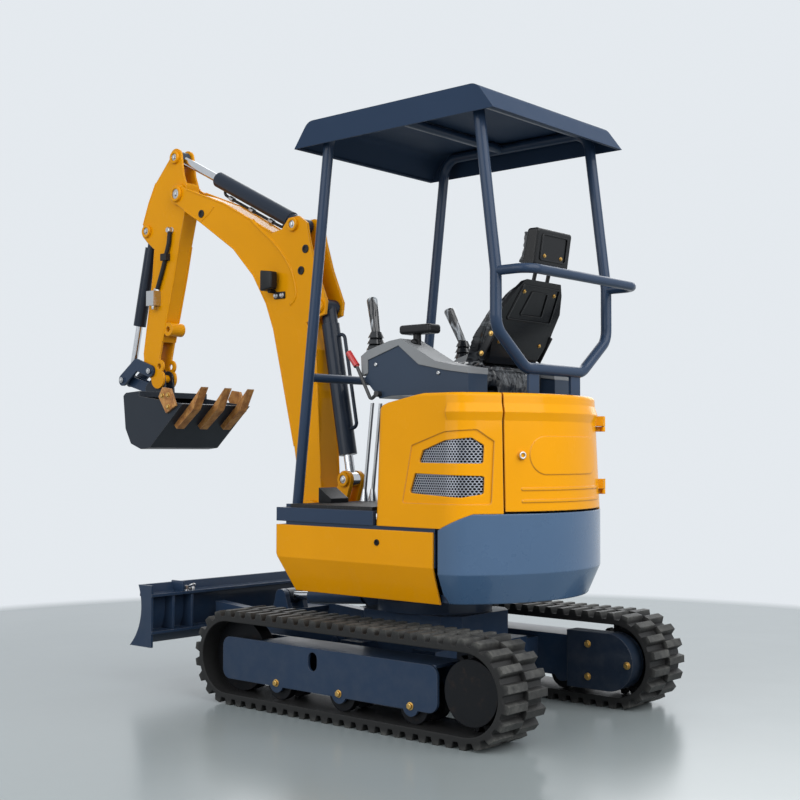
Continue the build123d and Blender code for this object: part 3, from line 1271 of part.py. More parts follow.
# Boom: a hollow bent box with a foot, a fork for the arm and bracket plates for two cylinders
def boom():
    foot_x, foot_z = BOOM_FOOT
    tip_x, tip_z = ARM_PIVOT
    face = outline((
        (foot_x - BOOM_FOOT_RADIUS, foot_z),
        *BOOM_REAR,
        *BOOM_TOP,
        (tip_x, tip_z + BOOM_TIP_RADIUS),
        (tip_x, tip_z - BOOM_TIP_RADIUS),
        *BOOM_UNDER,
        (foot_x + BOOM_FOOT_RADIUS, foot_z),
    ))
    half = BOOM_HALF_WIDTH
    shell = upright(face, -half, half)
    hollow_half = half - BOOM_WALL
    shell -= upright(offset(face, -BOOM_WALL), -hollow_half, hollow_half)
    bracket = outline((*BRACKET_EDGE, *BOOM_REAR[2:])) + disc(BOOM_CYLINDER_HEAD, EYE_RADIUS)
    pieces = [
        shell,
        cross_pin(BOOM_FOOT, BOOM_FOOT_RADIUS, -half, half),
        cross_pin(ARM_PIVOT, BOOM_TIP_RADIUS, -half, half),
        *both_sides(upright(bracket, half - BRACKET, half)),
    ]
    slot_half = ARM_HALF_WIDTH + BOOM_FORK_GAP
    body = fuse(pieces) - cross_pin(ARM_PIVOT, BOOM_FORK_DEPTH, -slot_half, slot_half)
    body -= cross_pin(BOOM_FOOT, BOOM_FOOT_PIN + PIN_GAP, -half, half)
    pins = [
        cross_pin(ARM_PIVOT, ARM_PIN, -half - PIN_HEAD, half + PIN_HEAD),
        cross_pin(BOOM_CYLINDER_HEAD, EYE_BORE, -half - PIN_HEAD, half + PIN_HEAD),
        cross_pin(ARM_CYLINDER_BASE, EYE_BORE, -half - PIN_HEAD, half + PIN_HEAD),
    ]
    return fuse([body, *pins])


def work_lamp():
    length, depth, height = LAMP_SIZE
    x, z = LAMP_PLACE
    face = BOOM_HALF_WIDTH
    stalk = cross_pin((x, z - height / 2), LAMP_STALK / 2, face, face + depth / 2)
    low = (x - length / 2, face + LAMP_STALK / 2, z - height / 2)
    box = slab(low, (x + length / 2, face + depth, z + height / 2))
    return stalk + box


# Arm: two side plates with front and rear walls, open at the tail and at the bucket's end
def arm():
    half = ARM_HALF_WIDTH
    gap_half = half - ARM_PLATE
    tail_x, tail_z = ARM_TAIL_PIN
    face = outline((
        (tail_x, tail_z + ARM_TAIL_RADIUS),
        *ARM_FRONT,
        (BUCKET_PIVOT[0] + BUCKET_EYE, BUCKET_PIVOT[1]),
        (BUCKET_PIVOT[0], BUCKET_PIVOT[1] - BUCKET_EYE),
        *ARM_REAR,
        *ARM_TAIL_REAR,
        (tail_x - ARM_TAIL_RADIUS, tail_z),
    ))
    face += disc(ARM_TAIL_PIN, ARM_TAIL_RADIUS) + disc(BUCKET_PIVOT, BUCKET_EYE)
    for ear in THUMB_EARS:
        face += disc(ear, THUMB_EAR_RADIUS)
    body = upright(face, -half, half)
    reach = (BOOM_FOOT[0], 2 * ARM_PIVOT[0])
    pocket_top = ARM_PIVOT[1] - BOOM_TIP_RADIUS - ARM_WALL
    middle = rectangle((reach[0], ARM_FORK_Z - ARM_WALL), (reach[1], pocket_top))
    plain = outline((*ARM_FRONT, *ARM_REAR, *ARM_TAIL_REAR))
    pocket = offset(plain, -ARM_WALL) & middle
    fork = rectangle((reach[0], 0), (reach[1], ARM_FORK_Z))
    throat = rectangle((reach[0], ARM_THROAT_Z), (reach[1], 2 * ARM_PIVOT[1]))
    base = strap(
        (BUCKET_CYLINDER_BASE, EYE_RADIUS + BOOM_FORK_GAP * 2),
        (along(BUCKET_CYLINDER_BASE, LINKAGE_JOINT, 3 * EYE_RADIUS), EYE_RADIUS + BOOM_FORK_GAP * 2),
    )
    for space in (pocket, fork, throat, base):
        body -= upright(space, -gap_half, gap_half)
    body += cross_pin(ARM_PIVOT, BOOM_TIP_RADIUS, -half, half)
    body -= cross_pin(ARM_PIVOT, ARM_PIN + PIN_GAP, -half, half)
    body -= cross_pin(ROCKER_PIVOT, LINKAGE_PIN + PIN_GAP, -half, half)
    for ear in THUMB_EARS:
        body -= cross_pin(ear, THUMB_EAR_BORE, -half, half)
    pins = [
        cross_pin(BUCKET_CYLINDER_BASE, EYE_BORE, -half - PIN_HEAD, half + PIN_HEAD),
        cross_pin(BUCKET_PIVOT, BUCKET_PIN, -half, half),
    ]
    for side in (1, -1):
        low, high = sorted((side * gap_half, side * (half + PIN_HEAD)))
        pins.append(cross_pin(ARM_TAIL_PIN, EYE_BORE, low, high))
    return fuse([body, *pins])


# Bucket linkage: layers from the middle out are rod eye, link plates, bucket ears, arm plates, rocker plates
link_inner = ROD_EYE_HALF + LAYER_GAP
link_outer = link_inner + LINK_PLATE
ear_inner = link_outer + LAYER_GAP
ear_outer = ear_inner + EAR_PLATE
rocker_inner = ARM_HALF_WIDTH + LAYER_GAP
rocker_outer = rocker_inner + ROCKER_PLATE


def rocker():
    """The left rocker plate with its stub pins."""
    lower = strap((LINKAGE_JOINT, ROCKER_EYE), (ROCKER_BOW, ROCKER_BOW_RADIUS))
    upper = strap((ROCKER_BOW, ROCKER_BOW_RADIUS), (ROCKER_PIVOT, ROCKER_EYE))
    plate = upright(lower + upper, rocker_inner, rocker_outer)
    pivot = cross_pin(ROCKER_PIVOT, LINKAGE_PIN, ARM_HALF_WIDTH - ARM_PLATE, rocker_outer + PIN_HEAD)
    joint = cross_pin(LINKAGE_JOINT, LINKAGE_PIN, link_inner, rocker_outer + PIN_HEAD)
    collar = cross_pin(LINKAGE_JOINT, PIN_HEAD_RADIUS, link_outer + LAYER_GAP, rocker_inner)
    return fuse([plate, pivot, joint, collar])


def link():
    """The left link plate."""
    plate = strap((LINKAGE_JOINT, LINK_EYE), (BUCKET_LINK_PIN, LINK_EYE))
    return upright(plate - disc(LINKAGE_JOINT, LINKAGE_PIN + PIN_GAP), link_inner, link_outer)


# Bucket: a curved shell between two side plates, with ears, teeth and side cutters
def bucket():
    half = BUCKET_HALF_WIDTH
    face = outline((BUCKET_LIP, *BUCKET_OUTLINE))
    inside = offset(face, -BUCKET_WALL)
    inside += Pos(0, 2 * BUCKET_WALL) * inside
    shell = upright(face, -half, half) - upright(inside, BUCKET_WALL - half, half - BUCKET_WALL)
    bridge = outline((*BUCKET_BRIDGE, BUCKET_OUTLINE[4]))
    ear = strap(
        (BUCKET_PIVOT, BUCKET_EAR_RADIUS),
        (BUCKET_LINK_PIN, LINK_EYE),
        ((BUCKET_BRIDGE[1][0] + BUCKET_EAR_RADIUS, BUCKET_BRIDGE[1][1]), BUCKET_WALL),
        ((BUCKET_OUTLINE[4][0] - BUCKET_WALL, BUCKET_OUTLINE[4][1]), BUCKET_WALL / 2),
    )
    ear -= disc(BUCKET_PIVOT, BUCKET_PIN + PIN_GAP)
    pieces = [shell, upright(bridge, -half, half), *both_sides(upright(ear, ear_inner, ear_outer))]
    return fuse(pieces)


def tooth(y):
    """A forged tooth on the lip, narrowing towards its tip."""
    reach = hypot(TOOTH_TIP[0] - BUCKET_LIP[0], TOOTH_TIP[1] - BUCKET_LIP[1])
    across = ((TOOTH_TIP[1] - BUCKET_LIP[1]) / reach, (BUCKET_LIP[0] - TOOTH_TIP[0]) / reach)
    floor = BUCKET_OUTLINE[0]
    run = hypot(floor[0] - BUCKET_LIP[0], floor[1] - BUCKET_LIP[1])
    heel = along(BUCKET_LIP, floor, min(TOOTH_ROOT, run))
    side = upright(outline((
        TOOTH_TIP,
        BUCKET_LIP,
        heel,
        (heel[0] - TOOTH_THICKNESS / 2, heel[1] - TOOTH_THICKNESS / 2),
        (BUCKET_LIP[0] - across[0] * TOOTH_THICKNESS, BUCKET_LIP[1] - across[1] * TOOTH_THICKNESS),
    )), y - TOOTH_WIDTH / 2, y + TOOTH_WIDTH / 2)
    return side


def side_cutter():
    """The left side cutter."""
    return upright(outline(CUTTER_OUTLINE), BUCKET_HALF_WIDTH, BUCKET_HALF_WIDTH + CUTTER_PLATE)


def build():
    os.makedirs("parts", exist_ok=True)
    save("carbody", carbody())
    for name, shape in (
        ("track_frame", track_frame()),
        ("skirt", skirt()),
        ("console", console()),
        ("console_cover", console_cover()),
    ):
        left, right = both_sides(shape)
        save(f"{name}_left", left)
        save(f"{name}_right", right)
    save("track_left", track(1))
    save("track_right", track(-1))
    save("idlers", both_sides(idler()))
    save("sprockets", both_sides(sprocket()))
    save("travel_motors", both_sides(travel_motor()))
    save("track_rollers", [shape for x in ROLLER_XS for shape in both_sides(roller(x))])
    save("blade", blade())
    save("blade_arms", blade_arms())
    save("main_frame", main_frame())
    save("deck", deck())
    save("floor_mat", floor_mat())
    save("counterweight", counterweight())
    shell = hood_shell()
    save("hood_left", hood_left(shell))
    save("hood_right", hood_right(shell))
    save("hood_top", hood_top(shell))
    save("hood_front", hood_front(shell))
    save("rear_door", rear_door(shell))
    save("grille_left", grille_left())
    save("engine", engine())
    save("canopy_frame", canopy_frame())
    save("canopy_roof", canopy_roof())
    save("seat_cushion", seat_cushion())
    save("seat_back", seat_back())
    save("seat_shell", seat_shell())
    save("head_rest", head_rest())
    save("wrist_rests", both_sides(wrist_rest()))
    save("joysticks", both_sides(joystick()))
    save("safety_lever", safety_lever())
    save("travel_levers", both_sides(travel_lever()))
    save("pedals", both_sides(pedal()))
    save("swing_post", swing_post())
    save("boom", boom())
    save("work_lamp", work_lamp())
    save("arm", arm())
    save("arm_hose", arm_hose())
    save("arm_valve", arm_valve())
    save("rocker", both_sides(rocker()))
    save("link", both_sides(link()))
    save("bucket", bucket())
    save("bucket_teeth", [tooth(y) for y in TOOTH_YS])
    save("side_cutters", both_sides(side_cutter()))
    for name, start, end, radius, rod_radius, share, root, eye_half, rod_eye_half in (
        ("blade", BLADE_CYLINDER_BASE, BLADE_CYLINDER_EYE, BLADE_BARREL_RADIUS, BLADE_ROD_RADIUS,
         BLADE_BARREL_SHARE, BLADE_ROD_ROOT, BLADE_EYE_HALF, BLADE_EYE_HALF),
        ("boom", BOOM_CYLINDER_HEAD, BOOM_CYLINDER_FOOT, BOOM_BARREL_RADIUS, BOOM_ROD_RADIUS,
         BOOM_BARREL_SHARE, BOOM_ROD_ROOT, BOOM_EYE_HALF, BOOM_ROD_EYE_HALF),
        ("arm", ARM_CYLINDER_BASE, ARM_TAIL_PIN, ARM_BARREL_RADIUS, ARM_ROD_RADIUS,
         ARM_BARREL_SHARE, ARM_ROD_ROOT, ARM_EYE_HALF, ARM_ROD_EYE_HALF),
        ("bucket", BUCKET_CYLINDER_BASE, LINKAGE_JOINT, BUCKET_BARREL_RADIUS, BUCKET_ROD_RADIUS,
         BUCKET_BARREL_SHARE, BUCKET_ROD_ROOT, BUCKET_EYE_HALF, ROD_EYE_HALF),
    ):
        barrel = cylinder_barrel(start, end, radius, rod_radius, share, eye_half)
        save(f"{name}_barrel", barrel + boom_pipe() if name == "boom" else barrel)
        save(f"{name}_rod", cylinder_rod(start, end, rod_radius, root, rod_eye_half))


build()
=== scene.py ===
# %% [markdown]
# A small tracked excavator, dressed for its portrait. The solid model already has every plate, pin and
# joint in its real place. This lesson gives each surface its finish, and adds the things that are too
# soft or too small for the solid model: the upholstery, the bolts, the mesh and the lamp's glass.

# %% Load the solid model
from math import atan2, cos, exp, pi, radians, sin, sqrt

import bmesh
import bpy
from mathutils import Matrix, Vector


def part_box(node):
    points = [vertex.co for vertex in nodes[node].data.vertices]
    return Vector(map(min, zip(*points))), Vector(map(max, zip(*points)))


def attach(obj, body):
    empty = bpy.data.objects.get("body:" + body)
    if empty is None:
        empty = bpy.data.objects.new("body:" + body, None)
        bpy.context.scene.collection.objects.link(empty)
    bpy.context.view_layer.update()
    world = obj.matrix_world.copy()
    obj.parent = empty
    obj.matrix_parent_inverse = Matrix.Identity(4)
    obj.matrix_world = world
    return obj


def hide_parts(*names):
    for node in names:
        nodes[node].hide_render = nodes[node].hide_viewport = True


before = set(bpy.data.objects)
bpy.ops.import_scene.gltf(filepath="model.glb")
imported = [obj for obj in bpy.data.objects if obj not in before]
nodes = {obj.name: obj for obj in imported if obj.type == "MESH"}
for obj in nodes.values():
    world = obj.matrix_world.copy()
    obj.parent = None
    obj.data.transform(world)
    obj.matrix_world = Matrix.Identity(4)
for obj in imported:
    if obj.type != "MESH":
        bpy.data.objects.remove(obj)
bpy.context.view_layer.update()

# %% [markdown]
# The photograph was taken from behind and to the left, a little below the seat's height, with the lens
# almost level. The camera stands there and looks along the same line, so that the picture and the
# photograph can be laid over each other.

# %% Camera
CAMERA_PLACE = (-3.3943, 4.1328, 1.0279)
CAMERA_TURN = radians(-49.033)
CAMERA_TILT = radians(2.27)
CAMERA_ROLL = radians(-0.153)
CAMERA_LENS = 58.19
SENSOR = 36

view = Vector((cos(CAMERA_TURN) * cos(CAMERA_TILT), sin(CAMERA_TURN) * cos(CAMERA_TILT), sin(CAMERA_TILT)))
bpy.ops.object.camera_add(location=CAMERA_PLACE)
camera = bpy.context.object
camera.name = "camera"
camera.rotation_euler = view.to_track_quat("-Z", "Y").to_euler()
camera.rotation_euler.rotate_axis("Z", -CAMERA_ROLL)
camera.data.lens = CAMERA_LENS
camera.data.sensor_width = SENSOR
bpy.context.scene.camera = camera
bpy.context.scene.view_settings.view_transform = "Standard"
print(f"camera {camera.data.lens} mm, looking along {tuple(round(part, 3) for part in view)}")

# %% [markdown]
# Shaders are long sums. Writing them node by node hides the idea, so one small class stands for a
# socket: adding or multiplying two of them adds the Math node that does it. Every other node comes from
# one method, which sets the node up and then connects it.

# %% Shader maths
BEVEL_SAMPLES = 6


class Wire:
    """A socket that can be used in sums."""

    def __init__(self, finish, socket):
        self.finish = finish
        self.socket = socket

    def sum_with(self, operation, first, second):
        return self.finish.node("ShaderNodeMath", {"operation": operation}, {0: first, 1: second})

    def __add__(self, other):
        return self.sum_with("ADD", self, other)

    __radd__ = __add__

    def __sub__(self, other):
        return self.sum_with("SUBTRACT", self, other)

    def __rsub__(self, other):
        return self.sum_with("SUBTRACT", other, self)

    def __mul__(self, other):
        return self.sum_with("MULTIPLY", self, other)

    def __truediv__(self, other):
        return self.sum_with("DIVIDE", self, other)

    def __pow__(self, other):
        return self.sum_with("POWER", self, other)

    def __gt__(self, other):
        return self.sum_with("GREATER_THAN", self, other)


class Finish:
    """A material while it is being put together."""

    def __init__(self, name):
        self.material = bpy.data.materials.new(name)
        self.material.use_nodes = True
        self.tree = self.material.node_tree
        self.shader = self.tree.nodes["Principled BSDF"]
        self.place = self.node("ShaderNodeTexCoord", output="Object")

    def node(self, kind, settings=None, sockets=None, output=0):
        made = self.tree.nodes.new(kind)
        for name, value in (settings or {}).items():
            if name == "stops":
                self.set_stops(made.color_ramp, value)
            else:
                setattr(made, name, value)
        for name, value in (sockets or {}).items():
            if isinstance(value, Wire):
                self.tree.links.new(value.socket, made.inputs[name])
            else:
                made.inputs[name].default_value = value
        return Wire(self, made.outputs[output])

    def set_stops(self, ramp, stops):
        while len(ramp.elements) < len(stops):
            ramp.elements.new(1)
        for element, (position, value) in zip(ramp.elements, stops):
            element.position = position
            element.color = (*value, 1) if isinstance(value, tuple) else (value, value, value, 1)

    def noise(self, scale, detail=3, roughness=0.55, where=None):
        sockets = {"Vector": where or self.place, "Scale": scale, "Detail": detail, "Roughness": roughness}
        return self.node("ShaderNodeTexNoise", sockets=sockets, output="Fac")

    def ramp(self, value, *stops):
        return self.node("ShaderNodeValToRGB", {"stops": stops}, {"Fac": value})

    def mix(self, share, first, second):
        first, second = [(*part, 1) if isinstance(part, tuple) else part for part in (first, second)]
        sockets = {"Factor": share, 6: first, 7: second}
        return self.node("ShaderNodeMix", {"data_type": "RGBA"}, sockets, output=2)

    def parts(self):
        """The X, Y and Z of a point."""
        split = "ShaderNodeSeparateXYZ"
        return [self.node(split, sockets={"Vector": self.place}, output=axis) for axis in "XYZ"]

    def bump(self, height, strength, distance=0.002, normal=None):
        sockets = {"Height": height, "Strength": strength, "Distance": distance}
        if normal:
            sockets["Normal"] = normal
        return self.node("ShaderNodeBump", sockets=sockets)

    def rounded(self, radius):
        """The surface's direction with its edges rounded off."""
        return self.node("ShaderNodeBevel", {"samples": BEVEL_SAMPLES}, {"Radius": radius})

    def edge(self, rounded):
        """How close a point is to an edge: 0 on a flat and up to 1 on a corner."""
        true = self.node("ShaderNodeNewGeometry", output="Normal")
        pair = {0: rounded, 1: true}
        agree = self.node("ShaderNodeVectorMath", {"operation": "DOT_PRODUCT"}, pair, "Value")
        return 1 - agree

    def set(self, **values):
        for name, value in values.items():
            socket = self.shader.inputs[name.replace("_", " ").title().replace("Ior", "IOR")]
            if isinstance(value, Wire):
                self.tree.links.new(value.socket, socket)
            else:
                socket.default_value = (*value, 1) if isinstance(value, tuple) else value
        return self.material


print("shader maths ready")

# %% [markdown]
# The machine is painted yellow and a dark blue-grey. The yellow is a smooth enamel with a clear gloss,
# thick enough to round every edge. The blue-grey is paler on the tail, flat on the roof and nearly black on
# the guards and the bucket, and the metal shines through where corners rub. All start from the same recipe:
# a colour that drifts a little, a faint orange peel, worn edges and dust that settles low down.

# %% Painted metal
YELLOW = (0.74, 0.305, 0.002)
SLATE = (0.019, 0.037, 0.074)
TAIL_SLATE = (0.050, 0.102, 0.188)
GUARD_SLATE = (0.010, 0.017, 0.031)
BUCKET_BLACK = (0.018, 0.024, 0.034)
BARE_STEEL = (0.30, 0.29, 0.28)
DUST = (0.17, 0.165, 0.15)
EDGE_ROUND = 0.004
FINE_ROUND = 0.003
DARK_SHARE = 0.86
LIGHT_SHARE = 1.08
DUST_TOP = 0.75
PEEL = 0.03
COAT_ROUGHNESS = 0.06


def enamel(name, colour, roughness, coat, wear, dust, gloss, edge_round=EDGE_ROUND):
    """Paint that is worn at its edges, with dust below a height."""
    paint = Finish(name)
    rounded = paint.rounded(edge_round)
    drift = paint.noise(2.3, 4)
    darker = tuple(part * DARK_SHARE for part in colour)
    lighter = tuple(part * LIGHT_SHARE for part in colour)
    base = paint.mix(drift, darker, lighter)
    scuffs = paint.noise(55, 6, 0.7)
    chips = paint.ramp(paint.edge(rounded) * 2.2 + scuffs * 0.5, (0.52, 0), (0.60, 1)) * wear
    base = paint.mix(chips, base, BARE_STEEL)
    low = paint.ramp(paint.parts()[2], (0, 1), (DUST_TOP, 0))
    settle = paint.ramp(paint.noise(14, 8, 0.65), (0.42, 0), (0.72, 1)) * low * dust
    base = paint.mix(settle, base, DUST)
    smear = paint.noise(7, 5, 0.6)
    peel = paint.bump(paint.noise(420, 1), PEEL, 0.001, rounded)
    return paint.set(
        base_color=base,
        roughness=roughness + smear * 0.12 + settle * 0.4,
        metallic=chips * 0.8,
        coat_weight=coat - settle * coat,
        coat_roughness=COAT_ROUGHNESS,
        specular_ior_level=gloss,
        normal=peel,
    )


# After the colour come roughness, clear coat, wear and dust.
yellow_enamel = enamel("yellow_enamel", YELLOW, 0.20, 0.13, 0.25, 0.10, gloss=0.05, edge_round=0.006)
slate_enamel = enamel("slate_enamel", SLATE, 0.28, 0.16, 0.25, 0.10, gloss=0.16)
tail_enamel = enamel("tail_enamel", TAIL_SLATE, 0.22, 0.35, 0.12, 0.06, gloss=0.3, edge_round=0.009)
roof_enamel = enamel("roof_enamel", SLATE, 0.55, 0.0, 0.15, 0.0, gloss=0.12)
guard_enamel = enamel("guard_enamel", GUARD_SLATE, 0.28, 0.16, 0.20, 0.10, gloss=0.16)
bucket_enamel = enamel("bucket_enamel", BUCKET_BLACK, 0.40, 0.06, 0.55, 0.12, gloss=0.16)
print("six enamels mixed")

# %% [markdown]
# The tracks are moulded rubber. New rubber is black, but the outer faces of the lugs have walked over a
# yard and keep a grey dust, while the belt between them stays dark. Distance from the middle line of the
# loop tells the two apart, so the shader measures it.

# %% Rubber
RUBBER = (0.0085, 0.0085, 0.009)
RUBBER_DUST = (0.105, 0.105, 0.098)
MAT_BLACK = (0.016, 0.016, 0.017)
MAT_RIB = 0.016
HOSE_BLACK = (0.012, 0.012, 0.013)
LUG_ROUND = 0.006
track_low, track_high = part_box("track_left")
track_radius = (track_high.z - track_low.z) / 2
idler_x = track_high.x - track_radius
sprocket_x = track_low.x + track_radius


def track_rubber():
    rubber = Finish("track_rubber")
    x, _, z = rubber.parts()
    nearest = rubber.node("ShaderNodeClamp", sockets={"Value": x, "Min": sprocket_x, "Max": idler_x})
    reach = ((x - nearest) ** 2 + (z - track_radius) ** 2) ** 0.5
    outer = rubber.ramp(reach / track_radius, (0.90, 0), (0.985, 1))
    scatter = rubber.ramp(rubber.noise(38, 8, 0.7), (0.30, 0), (0.66, 1))
    low = rubber.ramp(rubber.noise(6, 4), (0.40, 0.25), (0.65, 1))
    dusty = outer * scatter * low * 0.85 + rubber.noise(90, 6, 0.7) * 0.10
    rounded = rubber.rounded(LUG_ROUND)
    grain = rubber.bump(rubber.noise(600, 2) + rubber.noise(45, 5) * 0.8, 0.28, 0.002, rounded)
    return rubber.set(
        base_color=rubber.mix(dusty, RUBBER, RUBBER_DUST),
        roughness=0.48 + dusty * 0.4,
        specular_ior_level=0.25,
        normal=grain,
    )


def plain_rubber(name, colour, rib=0):
    """Dusty black rubber, ribbed across the machine where a rib's width is given."""
    rubber = Finish(name)
    grain = rubber.noise(500, 2)
    if rib:
        x = rubber.parts()[0]
        wave = rubber.node("ShaderNodeMath", {"operation": "SINE"}, {0: x * (2 * pi / rib)})
        grain = grain * 0.2 + wave
    speck = rubber.ramp(rubber.noise(60, 8, 0.7), (0.55, 0), (0.80, 1)) * 0.25
    return rubber.set(
        base_color=rubber.mix(speck, colour, RUBBER_DUST),
        roughness=0.55 + speck * 0.6,
        specular_ior_level=0.25,
        normal=rubber.bump(grain, 0.4, 0.0015),
    )


belt_rubber = track_rubber()
mat_rubber = plain_rubber("mat_rubber", MAT_BLACK, MAT_RIB)
hose_rubber = plain_rubber("hose_rubber", HOSE_BLACK)
print(f"track loop {idler_x - sprocket_x:.3f} m between wheels, {track_radius * 2:.3f} m high")

# %% [markdown]
# Bare metals come next. Cylinder rods are ground and hard chromed, so they mirror the room with a faint
# grain, and each ends in a black eye around its pin. Rollers and sprockets are rough castings with a thin
# coat of black. The bucket's teeth and cutters are forged steel that has started to rust to an orange
# brown. Bolts are zinc plated, and some have a gold film. The pins are named here by their X and Z.

# %% Bare metals
BOOM_PIVOT = (0.650, 0.750)
BOOM_BASE_PIN = (0.473, 0.905)
BOOM_ROD_PIN = (0.619, 1.670)
ARM_PIVOT = (1.608, 2.296)
ARM_BASE_PIN = (0.784, 2.052)
ARM_ROD_PIN = (1.643, 2.487)
BUCKET_BASE_PIN = (1.860, 2.140)
BUCKET_ROD_PIN = (2.035, 1.390)
ROCKER_PIVOT = (1.815, 1.428)
BLADE_ROD_PIN = (0.850, 0.372)
ROD_EYE = 0.038
ROD_EYES = {
    "blade_rod": BLADE_ROD_PIN, "boom_rod": BOOM_ROD_PIN, "arm_rod": ARM_ROD_PIN, "bucket_rod": BUCKET_ROD_PIN
}
CHROME = ((0.48, 0.49, 0.51), (0.66, 0.67, 0.69))
CAST_RUST = (0.16, 0.085, 0.045)
RUBBED_STEEL = (0.52, 0.45, 0.36)


def chrome(name, eye):
    """Chrome with a black eye, whose pin crosses the machine at X and Z."""
    metal = Finish(name)
    x, _, z = metal.parts()
    away = ((x - eye[0]) ** 2 + (z - eye[1]) ** 2) ** 0.5
    black = metal.ramp(away / ROD_EYE, (0.97, 1), (1.0, 0))
    smear = metal.noise(40, 4)
    bright = metal.mix(smear, *CHROME)
    return metal.set(
        base_color=metal.mix(black, bright, GUARD_SLATE),
        metallic=1 - black,
        roughness=0.07 + smear * 0.10 + black * 0.25,
        normal=metal.bump(metal.noise(900, 2), 0.02, 0.001),
    )


def cast_metal(name, colour):
    metal = Finish(name)
    pits = metal.noise(130, 6, 0.7)
    rust = metal.ramp(metal.noise(26, 8, 0.7), (0.56, 0), (0.78, 1)) * 0.15
    rounded = metal.rounded(EDGE_ROUND)
    return metal.set(
        base_color=metal.mix(rust, colour, CAST_RUST),
        metallic=0.35 - rust * 0.35,
        roughness=0.46 + rust * 0.4 + pits * 0.1,
        specular_ior_level=0.2,
        normal=metal.bump(pits, 0.25, 0.001, rounded),
    )


def rusted_steel():
    metal = Finish("rusted_steel")
    cloud = metal.noise(24, 8, 0.7)
    colour = metal.ramp(
        cloud,
        (0.25, (0.085, 0.040, 0.018)),
        (0.45, (0.36, 0.150, 0.040)),
        (0.62, (0.52, 0.26, 0.075)),
        (0.80, (0.16, 0.105, 0.070)),
    )
    rounded = metal.rounded(FINE_ROUND)
    shine = metal.ramp(metal.edge(rounded) * 2 + metal.noise(70, 5) * 0.4, (0.50, 0), (0.66, 1)) * 0.7
    return metal.set(
        base_color=metal.mix(shine, colour, RUBBED_STEEL),
        metallic=0.25 + shine * 0.6,
        roughness=0.62 - shine * 0.3,
        normal=metal.bump(cloud + metal.noise(160, 5) * 0.5, 0.45, 0.0015, rounded),
    )


def plated(name, colour, roughness):
    metal = Finish(name)
    tint = metal.noise(180, 3)
    darker = tuple(part * 0.75 for part in colour)
    return metal.set(
        base_color=metal.mix(tint, darker, colour), metallic=1.0, roughness=roughness + tint * 0.15
    )


cast_black = cast_metal("cast_black", (0.009, 0.010, 0.012))
rusty_teeth = rusted_steel()
gold_zinc = plated("gold_zinc", (0.62, 0.40, 0.13), 0.28)
bright_zinc = plated("bright_zinc", (0.55, 0.56, 0.57), 0.24)
mesh_steel = plated("mesh_steel", (0.32, 0.34, 0.38), 0.30)
print("bare metals ready")

# %% [markdown]
# Plastics and vinyl: the console mouldings, knobs and lamp housing have a fine leathery grain from the
# mould. The seat is black vinyl, and the joysticks' grips are black as well. Both keep the thin clear film
# of their delivery. The film's creases are a bump, and their glints are painted highlights: a pale colour
# mixed into the base colour along the folds.

# %% Plastics and vinyl
VINYL = (0.009, 0.010, 0.012)
# The pale colour of the highlights painted on the film's creases.
FILM_GLINT = (0.44, 0.48, 0.52)
LEVER_BLACK = (0.016, 0.017, 0.018)
LEVER_RED = (0.42, 0.012, 0.012)
LENS_TONES = ((0.62, 0.64, 0.66), (0.80, 0.82, 0.84))
LENS_RIBS = 900
SAFETY_GRIP_Z = 1.364
BOOT_TOP = -0.02


def moulded(name, colour, roughness, grain=0.25, coat=0.0):
    plastic = Finish(name)
    pebble = plastic.node(
        "ShaderNodeTexVoronoi", sockets={"Vector": plastic.place, "Scale": 520}, output="Distance"
    )
    fade = plastic.noise(5, 4)
    darker = tuple(part * 0.8 for part in colour)
    return plastic.set(
        base_color=plastic.mix(fade, darker, colour),
        roughness=roughness + fade * 0.1,
        coat_weight=coat,
        specular_ior_level=0.25,
        normal=plastic.bump(pebble, grain, 0.0006, plastic.rounded(EDGE_ROUND)),
    )


def vinyl(name, glint_share, stretch, from_z):
    """Black vinyl under a crumpled clear film from a height on, its creases painted with highlights."""
    skin = Finish(name)
    drawn = skin.node("ShaderNodeMapping", sockets={"Vector": skin.place, "Scale": stretch})
    facets = skin.node("ShaderNodeTexVoronoi", sockets={"Vector": drawn, "Scale": 16})
    folds = skin.noise(20, 2, 0.5, drawn)
    wrapped = skin.parts()[2] > from_z
    # Painted highlights: along the film's folds the base colour is mixed towards a pale colour.
    glint = skin.ramp(folds, (0.50, 0), (0.55, 1), (0.59, 0.1), (0.70, 0.4)) * wrapped * glint_share
    return skin.set(
        base_color=skin.mix(glint, VINYL, FILM_GLINT),
        roughness=0.12 + folds * 0.10,
        specular_ior_level=0.6,
        normal=skin.bump((facets + folds) * wrapped, 0.8, 0.010),
    )


black_plastic = moulded("black_plastic", (0.009, 0.0095, 0.011), 0.36)
shell_plastic = moulded("shell_plastic", (0.005, 0.0055, 0.0065), 0.20, grain=0.10)
console_plastic = moulded("console_plastic", (0.024, 0.042, 0.074), 0.34, grain=0.12, coat=0.1)
grey_plastic = moulded("grey_plastic", (0.24, 0.25, 0.26), 0.45)


def dipped_lever(grip_z):
    """A black bar whose upper end is dipped in red plastic."""
    lever = Finish("dipped_lever")
    grip = lever.ramp(lever.parts()[2] - grip_z, (0, 0), (0.001, 1))
    return lever.set(
        base_color=lever.mix(grip, LEVER_BLACK, LEVER_RED),
        roughness=0.30 + lever.noise(60, 3) * 0.15,
        coat_weight=grip * 0.5,
        normal=lever.rounded(FINE_ROUND),
    )


def ribbed_glass():
    """A pale lens with upright ribs."""
    glass = Finish("lens_glass")
    ribs = glass.node("ShaderNodeMath", {"operation": "SINE"}, {0: glass.parts()[1] * LENS_RIBS})
    return glass.set(
        base_color=glass.mix(glass.noise(50), *LENS_TONES),
        roughness=0.08 + glass.noise(90) * 0.05,
        normal=glass.bump(ribs, 0.4, 0.001),
    )


